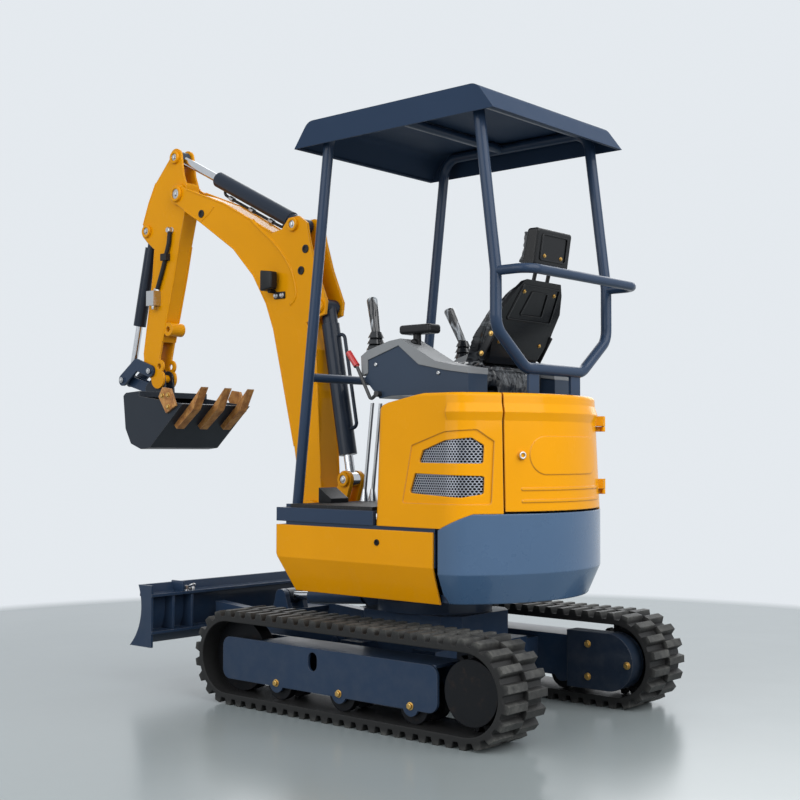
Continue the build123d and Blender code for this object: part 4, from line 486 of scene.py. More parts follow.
lever_finish = dipped_lever(SAFETY_GRIP_Z)
lens_glass = ribbed_glass()
grip_low, grip_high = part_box("joysticks")
boot_z = (grip_low.z + grip_high.z) / 2 + BOOT_TOP
# How strongly each film's painted highlights show.
seat_vinyl = vinyl("seat_vinyl", glint_share=0.14, stretch=(0.35, 1, 1), from_z=0)
grip_film_glint = vinyl("grip_film_glint", glint_share=0.80, stretch=(1, 1, 0.25), from_z=boot_z)
print("plastics ready")

# %% [markdown]
# Every solid now gets its finish. The solids keep their shape: only the material slot changes.

# %% Dress the solids
FINISHES = {
    yellow_enamel: "skirt_left skirt_right hood_left hood_right rear_door swing_post boom arm",
    slate_enamel: "carbody track_frame_left track_frame_right blade blade_arms blade_barrel main_frame deck "
    "hood_top hood_front canopy_frame rocker link",
    roof_enamel: "canopy_roof",
    tail_enamel: "counterweight",
    bucket_enamel: "bucket",
    belt_rubber: "track_left track_right",
    mat_rubber: "floor_mat",
    cast_black: "idlers sprockets track_rollers engine",
    guard_enamel: "travel_motors boom_barrel arm_barrel bucket_barrel",
    bright_zinc: "arm_valve travel_levers",
    rusty_teeth: "bucket_teeth side_cutters",
    black_plastic: "pedals work_lamp wrist_rests",
    shell_plastic: "seat_shell head_rest",
    console_plastic: "console_left console_right",
    grey_plastic: "console_cover_left console_cover_right",
    lever_finish: "safety_lever",
    seat_vinyl: "seat_cushion seat_back",
    grip_film_glint: "joysticks",
    mesh_steel: "grille_left",
    hose_rubber: "arm_hose",
}
FINISHES.update({chrome(f"{name}_chrome", eye): name for name, eye in ROD_EYES.items()})
for finish, names in FINISHES.items():
    for name in names.split():
        nodes[name].data.materials.clear()
        nodes[name].data.materials.append(finish)
dressed = sum(len(names.split()) for names in FINISHES.values())
print(f"{dressed} of {len(nodes)} solids dressed")

# %% [markdown]
# Small pieces are modelled as one does by hand: a primitive is added, faces and edges are picked in edit
# mode by where they lie, and inset, extrude and bevel do the rest. A few helpers keep that short. What
# repeats is modelled once at the origin, standing on the ground, and then copied to each place.

# %% Modelling helpers
CLOSE = 1e-4
SHARP = 0.5
FACING = 0.9
SIDES = (1, -1)


def deselect():
    bpy.ops.object.select_all(action="DESELECT")


def added():
    """The primitive that was just added, with its place in its mesh."""
    bpy.ops.object.transform_apply(location=True, rotation=True, scale=True)
    return bpy.context.object


def activate(piece):
    bpy.context.view_layer.objects.active = piece


def block(size, middle, turn=(0, 0, 0)):
    """A box of a size, with its place in its mesh."""
    deselect()
    bpy.ops.mesh.primitive_cube_add(size=1, location=middle, rotation=turn, scale=size)
    return added()


def standing_cylinder(sides, radius, height):
    """Add a cylinder that stands on the ground at the origin."""
    bpy.ops.mesh.primitive_cylinder_add(
        vertices=sides, radius=radius, depth=height, location=(0, 0, height / 2)
    )


def pick(piece, kind, test):
    """Select, in edit mode, the vertices, edges or faces that pass a test."""
    activate(piece)
    bpy.ops.object.mode_set(mode="EDIT")
    bpy.ops.mesh.select_mode(type=kind)
    bpy.ops.mesh.select_all(action="DESELECT")
    shape = bmesh.from_edit_mesh(piece.data)
    for part in {"VERT": shape.verts, "EDGE": shape.edges, "FACE": shape.faces}[kind]:
        if test(part):
            part.select_set(True)
    bmesh.update_edit_mesh(piece.data)


def flat_at(z):
    """A test for faces and edges that lie level at one height."""
    return lambda part: all(abs(corner.co.z - z) < CLOSE for corner in part.verts)


def rim_at(z):
    """A test for the sharp edges at one height."""
    return lambda edge: flat_at(z)(edge) and edge.calc_face_angle(0) > SHARP


def object_mode():
    bpy.ops.object.mode_set(mode="OBJECT")


def apply_modifier(piece, kind, **settings):
    modifier = piece.modifiers.new(kind, kind)
    for name, value in settings.items():
        setattr(modifier, name, value)
    activate(piece)
    bpy.ops.object.modifier_apply(modifier=modifier.name)


def repeat(model, places):
    """Copies of a model joined into one piece. A place is a point and the way the model's top faces."""
    made = []
    for point, facing in places:
        one = bpy.data.objects.new(model.name, model.data.copy())
        bpy.context.collection.objects.link(one)
        one.location = point
        one.rotation_euler = Vector(facing).to_track_quat("Z", "Y").to_euler()
        made.append(one)
    bpy.data.objects.remove(model)
    return joined(made)


def joined(pieces):
    """Pieces as one, with its place in its mesh."""
    deselect()
    for piece in pieces:
        piece.select_set(True)
    activate(pieces[0])
    bpy.ops.object.transform_apply(location=True, rotation=True, scale=True)
    if len(pieces) > 1:
        bpy.ops.object.join()
    return bpy.context.object


def complete(piece, name, finish, body, angle=35):
    """Name a piece, put its place in its mesh, smooth it, finish it and let it ride on a body."""
    joined([piece])
    bpy.ops.object.shade_smooth_by_angle(angle=radians(angle))
    piece.name = name
    piece.data.name = name
    piece.data.materials.clear()
    piece.data.materials.append(finish)
    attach(piece, body)
    print(f"{name}: {len(piece.data.polygons)} faces on {body}")
    return piece


print("helpers ready")

# %% [markdown]
# The seat is foam under black vinyl, still in the thin clear film it was delivered in. A block with
# rounded edges would look like wood. Here a copy of the solid is shrunk a little, remeshed into an even
# skin and blown up by a short cloth simulation, so that it crowns between its edges and pulls in at its
# corners. The underside stays where the seat pan holds it. Seams are pressed in afterwards, because the
# remesh would have wiped them out.

# %% Upholstery
VOXEL = 0.006
SWELL_STEPS = 20
PRESSURE = 4
SEAM_WIDTH = 0.006
SEAM_DEPTH = 0.005
SEAM_DROP = 0.022
PAN_DEPTH = 0.02
SIDEWAYS = 0.7
UPWARDS = 0.3


def stuffed(name, source, shrink, cap, held):
    """A padded copy of a solid. Points that held picks stay where they are."""
    deselect()
    pad = bpy.data.objects.new(name, source.data.copy())
    bpy.context.collection.objects.link(pad)
    pad.select_set(True)
    pick(pad, "VERT", lambda corner: True)
    bpy.ops.mesh.remove_doubles(threshold=CLOSE)
    object_mode()
    apply_modifier(pad, "REMESH", mode="VOXEL", voxel_size=VOXEL)
    apply_modifier(pad, "DISPLACE", strength=-shrink, mid_level=0)
    start = [corner.co.copy() for corner in pad.data.vertices]
    group = pad.vertex_groups.new(name="held")
    group.add([index for index, point in enumerate(start) if held(point)], 1, "REPLACE")
    swell(pad, group)
    for corner, before in zip(pad.data.vertices, start):
        move = corner.co - before
        if move.length > cap:
            corner.co = before + move * (cap / move.length)
    return pad


def swell(pad, group):
    cloth = pad.modifiers.new("Cloth", "CLOTH")
    cloth.settings.use_pressure = True
    cloth.settings.uniform_pressure_force = PRESSURE
    cloth.settings.vertex_group_mass = group.name
    cloth.settings.effector_weights.gravity = 0
    for step in range(1, SWELL_STEPS + 1):
        bpy.context.scene.frame_set(step)
    activate(pad)
    bpy.ops.object.modifier_apply(modifier=cloth.name)
    bpy.context.scene.frame_set(1)


def press_seams(pad, depth, *seams):
    """Press in sewn lines. A seam gives a point's distance from it, or None where it doesn't run."""
    apply_modifier(pad, "SMOOTH", iterations=4)
    apply_modifier(pad, "SUBSURF", levels=1, render_levels=1)
    moves = []
    for corner in pad.data.vertices:
        away = [seam(corner.co, corner.normal) for seam in seams]
        press = max((exp(-((far / SEAM_WIDTH) ** 2)) for far in away if far is not None), default=0)
        moves.append(corner.normal * (-depth * press))
    for corner, move in zip(pad.data.vertices, moves):
        corner.co += move


def upholster(pad, node):
    complete(pad, f"{node}_padding", seat_vinyl, "house", angle=60)


cushion_low, cushion_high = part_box("seat_cushion")
CUSHION_SEAM_Z = cushion_high.z - SEAM_DROP
CHANNEL_YS = (-0.12, 0.12)


def cushion_edge(point, normal):
    return abs(point.z - CUSHION_SEAM_Z) if abs(normal.z) < SIDEWAYS else None


def channel(point, normal):
    if max(normal.z, normal.x) <= UPWARDS:
        return None
    return min(abs(point.y - y) for y in CHANNEL_YS)


def cushion_held(point):
    return point.z < cushion_low.z + PAN_DEPTH


cushion = stuffed("cushion", nodes["seat_cushion"], shrink=0.006, cap=0.016, held=cushion_held)
press_seams(cushion, SEAM_DEPTH, cushion_edge, channel)
upholster(cushion, "seat_cushion")
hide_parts("seat_cushion")

# %% [markdown]
# The back's padding is held all over its rear by a moulded shell, so only its front and sides swell. Its
# shell has raised borders and four bolts. The head rest is a moulded box with a small pad on its front.

# %% Seat back and head rest
BACK_REAR = ((-0.385, 1.370), (-0.400, 1.395), (-0.455, 1.510), (-0.545, 1.685))
BACK_ROWS = (1.47, 1.57)
BACK_SEAM = 0.055
SHELL_DEPTH = 0.03
BACK_FOOT = 0.012
FORWARD = 0.4
HEAD_LOW = (-0.515, 1.736)
HEAD_HIGH = (-0.547, 1.880)
HEAD_PAD = (0.05, 0.218, 0.132)
HEAD_SEAM_DEPTH = 0.003


def back_rear_x(z):
    """Where the shell's rear lies at a height."""
    for (low_x, low_z), (high_x, high_z) in zip(BACK_REAR, BACK_REAR[1:]):
        if z <= high_z:
            break
    return low_x + (high_x - low_x) * (z - low_z) / (high_z - low_z)


def back_row(point, normal):
    return min(abs(point.z - z) for z in BACK_ROWS) if normal.x > FORWARD else None


def back_side(point, normal):
    return abs(point.x - back_rear_x(point.z) - BACK_SEAM) if normal.x < SIDEWAYS else None


def back_held(point):
    in_shell = point.x - back_rear_x(point.z) < SHELL_DEPTH
    return in_shell or point.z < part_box("seat_back")[0].z + BACK_FOOT


back = stuffed("back", nodes["seat_back"], shrink=0.005, cap=0.014, held=back_held)
press_seams(back, SEAM_DEPTH, back_row, back_side, channel)
upholster(back, "seat_back")
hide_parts("seat_back")

lean = atan2(HEAD_LOW[0] - HEAD_HIGH[0], HEAD_HIGH[1] - HEAD_LOW[1])
head_x, head_z = [(low + high) / 2 for low, high in zip(HEAD_LOW, HEAD_HIGH)]
foam = block(HEAD_PAD, (head_x, 0, head_z), (0, -lean, 0))
head_pad = stuffed("head_pad", foam, shrink=0.004, cap=0.010, held=lambda point: point.x < HEAD_HIGH[0])
bpy.data.objects.remove(foam)
press_seams(head_pad, HEAD_SEAM_DEPTH)
upholster(head_pad, "head_rest")

# %% [markdown]
# Bolts, washers and pin ends come next. A hexagon head starts as a cylinder with six sides: its top is
# inset and lifted for the chamfer, and a second cylinder under it is bevelled into a washer. The same
# model serves every place, in gold zinc on the frames and in bright zinc on the pins.


# %% Fasteners
def bolt(across, height, washer):
    """A hexagon head with a chamfered crown, on a round washer."""
    thin = height / 5
    deselect()
    standing_cylinder(6, across / sqrt(3), height)
    head = added()
    pick(head, "FACE", flat_at(height))
    bpy.ops.mesh.inset(thickness=across * 0.08)
    bpy.ops.transform.translate(value=(0, 0, height * 0.12))
    standing_cylinder(28, washer, thin)
    pick(head, "EDGE", rim_at(thin))
    bpy.ops.mesh.bevel(offset=thin / 3, segments=2)
    object_mode()
    return head


def collar(inner, outer, height):
    """A ring that stands on a plate around a pin."""
    deselect()
    standing_cylinder(40, outer, height)
    ring = added()
    pick(ring, "FACE", flat_at(height))
    bpy.ops.mesh.inset(thickness=outer - inner)
    bpy.ops.mesh.extrude_region_move(TRANSFORM_OT_translate={"value": (0, 0, -height * 0.8)})
    pick(ring, "EDGE", rim_at(height))
    bpy.ops.mesh.bevel(offset=height / 7, segments=2)
    object_mode()
    return ring


def both_faces(points, y):
    """Places on the left and right faces of a plate that stands upright."""
    return [((x, side * y, z), (0, side, 0)) for x, z in points for side in SIDES]


def fasten(name, size, places, finish, body):
    """Bolts of one size at their places, joined into one piece."""
    complete(repeat(bolt(*size), places), name, finish, body)


PIN_RISE = 0.009
PIN_HEAD = (0.019, 0.007)
PIN_EDGE = 0.001
COLLAR_RISE = 0.014
COLLAR_WALL = 0.013
PIN_RADIUS = 0.018
BOOM_FACE = 0.060
ARM_FACE = 0.042
ROCKER_FACE = 0.056
ROCKER_BOLT = (0.017, 0.006, 0.014)
# Each pin's place, the distance of its plate's face from the middle, and its radius.
PINS = {
    "boom": (
        (ARM_PIVOT, BOOM_FACE, 0.025),
        (BOOM_ROD_PIN, BOOM_FACE, PIN_RADIUS),
        (ARM_BASE_PIN, BOOM_FACE, PIN_RADIUS),
    ),
    "arm": ((BUCKET_BASE_PIN, ARM_FACE, PIN_RADIUS), (ARM_ROD_PIN, ARM_FACE, PIN_RADIUS)),
    "swing_post": ((BOOM_PIVOT, 0.086, 0.026), (BOOM_BASE_PIN, 0.045, PIN_RADIUS)),
}
for body, pins in PINS.items():
    rings, caps = [], []
    for point, face, radius in pins:
        rings.append(repeat(collar(radius, radius + COLLAR_WALL, COLLAR_RISE), both_faces([point], face)))
        caps.append(repeat(bolt(*PIN_HEAD, radius - PIN_EDGE), both_faces([point], face + PIN_RISE)))
    complete(joined(rings), f"{body}_pin_collars", yellow_enamel, body)
    complete(joined(caps), f"{body}_pin_ends", bright_zinc, body)
rocker_places = both_faces((ROCKER_PIVOT, BUCKET_ROD_PIN), ROCKER_FACE + PIN_RISE)
fasten("rocker_pin_ends", ROCKER_BOLT, rocker_places, bright_zinc, "rocker")

# %% [markdown]
# Gold bolts hold the track rollers to their frames, the travel motors' guards, the bucket's side cutters
# and the seat's shell. Each set is one joined piece that rides with what it fastens.

# %% Gold bolts
ROLLER_BOLTS = ((0.340, 0.114), (0.0, 0.114), (-0.355, 0.114))
FRAME_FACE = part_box("track_frame_left")[1].y
GUARD_BOLTS = ((-0.530, 0.255), (-0.712, 0.187), (-0.530, 0.125))
CUTTER_BOLTS = ((1.455, 1.292), (1.497, 1.290), (1.452, 1.236))
CUTTER_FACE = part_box("side_cutters")[1].y
SHELL_BOLTS = ((0.100, 1.640), (-0.100, 1.640), (0.135, 1.450), (-0.135, 1.450))
GUARD_INNER = 0.323
FRAME_BOLT = (0.020, 0.010, 0.015)
CUTTER_BOLT = (0.017, 0.009, 0.013)
SHELL_BOLT = (0.010, 0.005, 0.008)
SLOPE_STEP = 0.01

guard_places = [((x, side * GUARD_INNER, z), (0, -side, 0)) for x, z in GUARD_BOLTS for side in SIDES]
fasten("roller_bolts", FRAME_BOLT, both_faces(ROLLER_BOLTS, FRAME_FACE), gold_zinc, "undercarriage")
fasten("guard_bolts", FRAME_BOLT, guard_places, gold_zinc, "undercarriage")
fasten("cutter_bolts", CUTTER_BOLT, both_faces(CUTTER_BOLTS, CUTTER_FACE), gold_zinc, "bucket")


def shell_slope(z):
    """The way the seat shell's rear faces at a height."""
    run = back_rear_x(z + SLOPE_STEP) - back_rear_x(z - SLOPE_STEP)
    return Vector((-2 * SLOPE_STEP, 0, run)).normalized()


shell_places = [((back_rear_x(z), y, z), shell_slope(z)) for y, z in SHELL_BOLTS]
fasten("shell_bolts", SHELL_BOLT, shell_places, gold_zinc, "house")

# %% [markdown]
# The seat shell and the head rest's box are stiffened by raised borders. A plane is inset, its middle is
# deleted, and the ring that stays is extruded and narrowed at its top. It is modelled flat and then laid on
# the slope of the part that carries it.

# %% Raised borders
BORDER_RISE = 0.004
BORDER_TAPER = 0.975


def border(half_top, half_bottom, height, width):
    """A raised frame, flat on the ground, with its upper edge towards +Y."""
    deselect()
    bpy.ops.mesh.primitive_plane_add(size=1)
    frame_ring = bpy.context.object
    for corner in frame_ring.data.vertices:
        upper = corner.co.y > 0
        corner.co.x = (1 if corner.co.x > 0 else -1) * (half_top if upper else half_bottom)
        corner.co.y = (1 if upper else -1) * height / 2
    pick(frame_ring, "VERT", lambda corner: True)
    bpy.ops.mesh.bevel(offset=width * 2, segments=4, affect="VERTICES")
    pick(frame_ring, "FACE", lambda face: True)
    bpy.ops.mesh.inset(thickness=width)
    bpy.ops.mesh.delete(type="FACE")
    pick(frame_ring, "FACE", lambda face: True)
    bpy.ops.mesh.extrude_region_move(TRANSFORM_OT_translate={"value": (0, 0, BORDER_RISE)})
    pick(frame_ring, "FACE", flat_at(BORDER_RISE))
    bpy.ops.transform.resize(value=(BORDER_TAPER, BORDER_TAPER, 1))
    object_mode()
    return frame_ring


def lay(piece, middle, facing):
    """Lay a flat piece on a slope, with its upper edge up."""
    up = Vector((0, 0, 1))
    out = Vector(facing).normalized()
    across = up.cross(out).normalized()
    turn = Matrix((across, out.cross(across), out)).transposed()
    piece.matrix_world = Matrix.Translation(Vector(middle)) @ turn.to_4x4()
    return piece


SHELL_MIDDLE_Z = 1.600
HEAD_REAR = (Vector((-0.577, 0, 1.736)), Vector((-0.600, 0, 1.880)))
HEAD_BOLT = (0.005, 0.055, -0.032)
# Each border's half width at its top and bottom, its height and the width of its rim.
OUTER_BORDER = (0.125, 0.150, 0.150, 0.006)
INNER_BORDER = (0.055, 0.075, 0.105, 0.005)
HEAD_BORDER = (0.088, 0.088, 0.105, 0.006)
head_run = HEAD_REAR[1] - HEAD_REAR[0]
head_face = Vector((-head_run.z, 0, head_run.x)).normalized()
head_middle = (HEAD_REAR[0] + HEAD_REAR[1]) / 2
shell_middle = (back_rear_x(SHELL_MIDDLE_Z), 0, SHELL_MIDDLE_Z)
shell_face = shell_slope(SHELL_MIDDLE_Z)
borders = [lay(border(*size), shell_middle, shell_face) for size in (OUTER_BORDER, INNER_BORDER)]
borders.append(lay(border(*HEAD_BORDER), head_middle, head_face))
complete(joined(borders), "seat_borders", shell_plastic, "house")
bolt_x, bolt_y, bolt_z = HEAD_BOLT
head_places = [(head_middle + Vector((bolt_x, side * bolt_y, bolt_z)), head_face) for side in SIDES]
fasten("head_bolts", SHELL_BOLT, head_places, gold_zinc, "house")

# %% [markdown]
# Air reaches the radiator through two openings with a perforated sheet behind them. A pattern painted on
# a flat face would lose its depth up close, so the holes are real. One six-sided cell is cut into a ring,
# three arrays spread it over the openings, and a shrinkwrap bends the sheet round the hood's corner.

# %% Perforated sheet
PITCH = 0.0105
WEB = 0.0014
SHEET = 0.0015
SHEET_START = 0.02
sheet_low, sheet_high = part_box("grille_left")
columns = int((sheet_high.x - sheet_low.x) / PITCH)
row = PITCH * sqrt(3) / 2
row_pairs = int((sheet_high.z - sheet_low.z) / (2 * row))
start_y = sheet_high.y + SHEET_START

deselect()
bpy.ops.mesh.primitive_circle_add(vertices=6, radius=PITCH / sqrt(3), fill_type="NGON")
mesh_sheet = added()
pick(mesh_sheet, "FACE", lambda face: True)
bpy.ops.mesh.inset(thickness=WEB)
bpy.ops.mesh.delete(type="FACE")
object_mode()
for count, offset in ((columns, (PITCH, 0, 0)), (2, (PITCH / 2, row, 0)), (row_pairs, (0, 2 * row, 0))):
    apply_modifier(
        mesh_sheet, "ARRAY", count=count, use_relative_offset=False, use_constant_offset=True,
        constant_offset_displace=offset,
    )
apply_modifier(mesh_sheet, "WELD", merge_threshold=WEB / 8)
mesh_sheet.rotation_euler = (pi / 2, 0, 0)
mesh_sheet.location = (sheet_low.x + PITCH, start_y, sheet_low.z + PITCH)
mesh_sheet.select_set(True)
bpy.ops.object.transform_apply(location=True, rotation=True)
apply_modifier(
    mesh_sheet, "SHRINKWRAP", target=nodes["grille_left"], wrap_method="PROJECT", use_project_y=True,
    use_negative_direction=True, use_positive_direction=False,
)
pick(mesh_sheet, "VERT", lambda corner: corner.co.y > start_y - CLOSE)
bpy.ops.mesh.delete(type="VERT")
pick(mesh_sheet, "FACE", lambda face: True)
bpy.ops.mesh.flip_normals()
object_mode()
apply_modifier(mesh_sheet, "SOLIDIFY", thickness=SHEET, offset=-1)
complete(mesh_sheet, "perforated_sheet", mesh_steel, "house")
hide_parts("grille_left")

# %% [markdown]
# The blade's box has upright plates between its ribs, and on its upper rib stand two pins with rings and
# two bolts. The plates are cubes cut to size with bevelled edges. A ring is a torus on a short shank.


# %% Blade details
def plate(low, high, bevel):
    """A flat bar between two corners, with its edges bevelled."""
    middle = [(a + b) / 2 for a, b in zip(low, high)]
    size = [b - a for a, b in zip(low, high)]
    bar = block(size, middle)
    pick(bar, "EDGE", lambda edge: True)
    bpy.ops.mesh.bevel(offset=bevel, segments=2)
    object_mode()
    return bar


BLADE_PLATE_X = (1.092, 1.172)
BLADE_PLATE_HALF = 0.006
BLADE_PLATE_BEVEL = 0.002
# Each plate's distance from the middle, and the heights of its lower and upper edge.
BLADE_PLATES = ((0.42, 0.405, 0.452), (0.475, 0.245, 0.397), (0.37, 0.245, 0.397))
RING_LEAN = radians(-40)
RING_PIN = (0.009, 0.014)
RING_Y = 0.347
RING_X = 1.118
RIB_TOP = 0.407
BLADE_BOLT = (0.019, 0.020, 0.014)
BLADE_BOLT_Y = 0.388
blade_plates = []
for side in SIDES:
    for y, low_z, high_z in BLADE_PLATES:
        low_y, high_y = sorted((side * (y - BLADE_PLATE_HALF), side * (y + BLADE_PLATE_HALF)))
        low = (BLADE_PLATE_X[0], low_y, low_z)
        high = (BLADE_PLATE_X[1], high_y, high_z)
        blade_plates.append(plate(low, high, BLADE_PLATE_BEVEL))
complete(joined(blade_plates), "blade_plates", slate_enamel, "blade")


def ring_pin(radius, height):
    """A pin that stands on the ground, with a ring that leans through its top."""
    deselect()
    standing_cylinder(20, radius, height)
    shank = added()
    pick(shank, "EDGE", rim_at(height))
    bpy.ops.mesh.bevel(offset=radius / 4, segments=2)
    bpy.ops.mesh.primitive_torus_add(
        location=(-radius, 0, height), rotation=(0, RING_LEAN, 0), major_radius=radius * 1.9,
        minor_radius=radius / 2, major_segments=28, minor_segments=10,
    )
    object_mode()
    return shank


ring_places = [((RING_X, side * RING_Y, RIB_TOP), (0, 0, 1)) for side in SIDES]
post_places = [((RING_X, side * BLADE_BOLT_Y, RIB_TOP), (0, 0, 1)) for side in SIDES]
complete(repeat(ring_pin(*RING_PIN), ring_places), "ring_pins", bright_zinc, "blade")
fasten("blade_bolts", BLADE_BOLT, post_places, bright_zinc, "blade")

# %% [markdown]
# The work lamp is a moulded housing that narrows towards its rear, with a dished and ribbed lens in its
# front. It hangs on a short stalk, and a small foot with two bolts holds it to the boom.

# %% Work lamp
LENS_INSET = 0.010
LENS_DEPTH = 0.008
LENS_STAND = 0.001
LENS_RIM = 0.004
LENS_DISH = 0.003
LENS_BEVEL = 0.001
LAMP_HEIGHT = 0.096
LAMP_INNER_Y = 0.070
LAMP_TAPER = 0.8
LAMP_BEVEL = 0.007
STALK = (0.009, 0.040)
STALK_Y = 0.076
LAMP_FOOT = ((0.832, 0.058, 1.720), (0.902, 0.068, 1.752))
FOOT_BEVEL = 0.003
FOOT_BOLTS = ((0.847, 1.735), (0.887, 1.735))
LAMP_BOLT = (0.015, 0.009, 0.011)
lamp_low, lamp_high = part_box("work_lamp")
lamp_size = (lamp_high.x - lamp_low.x, lamp_high.y - LAMP_INNER_Y, LAMP_HEIGHT)
lamp_x = (lamp_low.x + lamp_high.x) / 2
lamp_y = (lamp_high.y + LAMP_INNER_Y) / 2
lamp_z = lamp_high.z - LAMP_HEIGHT / 2
lens_size = (LENS_DEPTH, lamp_size[1] - 2 * LENS_INSET, LAMP_HEIGHT - 2 * LENS_INSET)

lamp_front = block(lens_size, (lamp_high.x + LENS_STAND, lamp_y, lamp_z))
pick(lamp_front, "FACE", lambda face: face.normal.x > FACING)
bpy.ops.mesh.inset(thickness=LENS_RIM)
bpy.ops.mesh.extrude_region_move(TRANSFORM_OT_translate={"value": (-LENS_DISH, 0, 0)})
pick(lamp_front, "EDGE", lambda edge: edge.calc_face_angle(0) > SHARP)
bpy.ops.mesh.bevel(offset=LENS_BEVEL, segments=2)
object_mode()
complete(lamp_front, "lamp_lens", lens_glass, "boom")

housing = block(lamp_size, (lamp_x, lamp_y, lamp_z))
pick(housing, "FACE", lambda face: face.normal.x < -FACING)
bpy.ops.transform.resize(value=(1, LAMP_TAPER, LAMP_TAPER))
pick(housing, "EDGE", lambda edge: True)
bpy.ops.mesh.bevel(offset=LAMP_BEVEL, segments=3)
bpy.ops.mesh.primitive_cylinder_add(
    vertices=24, radius=STALK[0], depth=STALK[1], rotation=(pi / 2, 0, 0),
    location=(lamp_x, STALK_Y, lamp_high.z - LAMP_HEIGHT),
)
object_mode()
complete(housing, "lamp_housing", black_plastic, "boom")
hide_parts("work_lamp")
complete(plate(*LAMP_FOOT, FOOT_BEVEL), "lamp_foot", black_plastic, "boom")
foot_places = [((x, LAMP_FOOT[1][1], z), (0, 1, 0)) for x, z in FOOT_BOLTS]
fasten("lamp_bolts", LAMP_BOLT, foot_places, bright_zinc, "boom")

# %% [markdown]
# Screws hold the console covers, and a knob sets each wrist rest. The seat's back leans on two flat bars
# with a bolt at each end. Round locks close the skirts and the rear door.


# %% Screws, recliners and locks
def screw(radius, height):
    """A low round head with a dished middle."""
    deselect()
    standing_cylinder(20, radius, height)
    head = added()
    pick(head, "EDGE", rim_at(height))
    bpy.ops.mesh.bevel(offset=height / 2, segments=3)
    pick(head, "FACE", flat_at(height))
    bpy.ops.mesh.inset(thickness=radius * 0.35)
    bpy.ops.transform.translate(value=(0, 0, -height * 0.4))
    object_mode()
    return head


CONSOLE_SCREW = (0.008, 0.006)
CONSOLE_SCREWS = ((0.019, 1.370), (-0.300, 1.325))
KNOB = (0.014, 0.026)
KNOB_PLACE = (-0.140, 0.290, 1.452)
RECLINER = (Vector((-0.433, 0, 1.478)), Vector((-0.387, 0, 1.404)))
RECLINER_HALF = Vector((0.058, 0.004, 0.015))
RECLINER_BEVEL = 0.003
RECLINER_BOLT = (0.013, 0.006, 0.010)
SKIRT_LOCK = (0.006, 0.012, 0.004)
SKIRT_LOCK_PLACE = (-0.102, 0.682)
DOOR_LOCK = (0.008, 0.014, 0.012)
DOOR_LOCK_ANGLE = radians(180 - 24)
DOOR_MIDDLE = Vector((-0.050, 0, 1.014))
DOOR_RADIUS = 0.620

screws = both_faces(CONSOLE_SCREWS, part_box("console_left")[1].y)
complete(repeat(screw(*CONSOLE_SCREW), screws), "console_screws", bright_zinc, "house")
knob_x, knob_y, knob_z = KNOB_PLACE
knobs = both_faces([(knob_x, knob_z)], knob_y)
complete(repeat(screw(*KNOB), knobs), "rest_knobs", black_plastic, "house")

recliner_run = RECLINER[1] - RECLINER[0]
recliner_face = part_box("seat_shell")[1].y
recliners = []
for side in SIDES:
    bar = plate(-RECLINER_HALF, RECLINER_HALF, RECLINER_BEVEL)
    bar.rotation_euler = (0, atan2(-recliner_run.z, recliner_run.x), 0)
    bar.location = (RECLINER[0] + RECLINER[1]) / 2 + Vector((0, side * recliner_face, 0))
    recliners.append(bar)
complete(joined(recliners), "seat_recliners", black_plastic, "house")
recliner_ends = both_faces([(end.x, end.z) for end in RECLINER], recliner_face + RECLINER_HALF.y)
fasten("recliner_bolts", RECLINER_BOLT, recliner_ends, gold_zinc, "house")

locks = both_faces([SKIRT_LOCK_PLACE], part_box("skirt_left")[1].y)
complete(repeat(collar(*SKIRT_LOCK), locks), "skirt_locks", cast_black, "house")
lock_way = Vector((cos(DOOR_LOCK_ANGLE), sin(DOOR_LOCK_ANGLE), 0))
door_lock = repeat(collar(*DOOR_LOCK), [(DOOR_MIDDLE + lock_way * DOOR_RADIUS, lock_way)])
complete(door_lock, "door_lock", bright_zinc, "rear_door")

# %% [markdown]
# The boom has holes for its hoses, lined with rubber, and the arm's cylinder carries a hard pipe along its
# underside, held by three unions. The pipe is a smooth curve with a round section, turned into a mesh.

# %% Grommets and pipe
GROMMET = (0.011, 0.019, 0.005)
GROMMETS = ((1.420, 2.176), (0.704, 1.933), (0.731, 1.838))
ARM_BASE, ARM_TAIL = [Vector((x, 0, z)) for x, z in (ARM_BASE_PIN, ARM_ROD_PIN)]
PIPE_RADIUS = 0.007
PIPE_DROP = 0.053
# Points along the cylinder from its base, and below its middle line.
PIPE_ROUTE = (
    (0.115, 0.034), (0.118, 0.050), (0.145, PIPE_DROP), (0.30, PIPE_DROP),
    (0.47, PIPE_DROP), (0.545, PIPE_DROP), (0.575, 0.050), (0.58, 0.034),
)
UNION = (0.020, 0.030, 0.012)
UNIONS = (0.19, 0.34, 0.50)


def tube(points, radius, kind="POLY", rounding=3, steps=12):
    """A round bar along a line of points."""
    deselect()
    bpy.ops.curve.primitive_nurbs_path_add()
    curve = bpy.context.object.data
    curve.splines.remove(curve.splines[0])
    line = curve.splines.new(kind)
    line.points.add(len(points) - 1)
    for spot, point in zip(line.points, points):
        spot.co = (*point, 1)
    line.order_u = 3
    line.use_endpoint_u = True
    curve.resolution_u = steps
    curve.bevel_depth = radius
    curve.bevel_resolution = rounding
    curve.use_fill_caps = True
    bpy.ops.object.convert(target="MESH")
    return bpy.context.object


grommets = repeat(collar(*GROMMET), both_faces(GROMMETS, BOOM_FACE))
complete(grommets, "boom_grommets", hose_rubber, "boom")
along = (ARM_TAIL - ARM_BASE).normalized()
under = Vector((along.z, 0, -along.x))
pipe_points = [ARM_BASE + along * reach + under * drop for reach, drop in PIPE_ROUTE]
pipe = tube(pipe_points, PIPE_RADIUS, "NURBS", rounding=4, steps=6)
complete(pipe, "arm_pipe", hose_rubber, "arm_barrel")
union_places = [(ARM_BASE + along * reach + under * PIPE_DROP, along) for reach in UNIONS]
fasten("pipe_unions", UNION, union_places, bright_zinc, "arm_barrel")

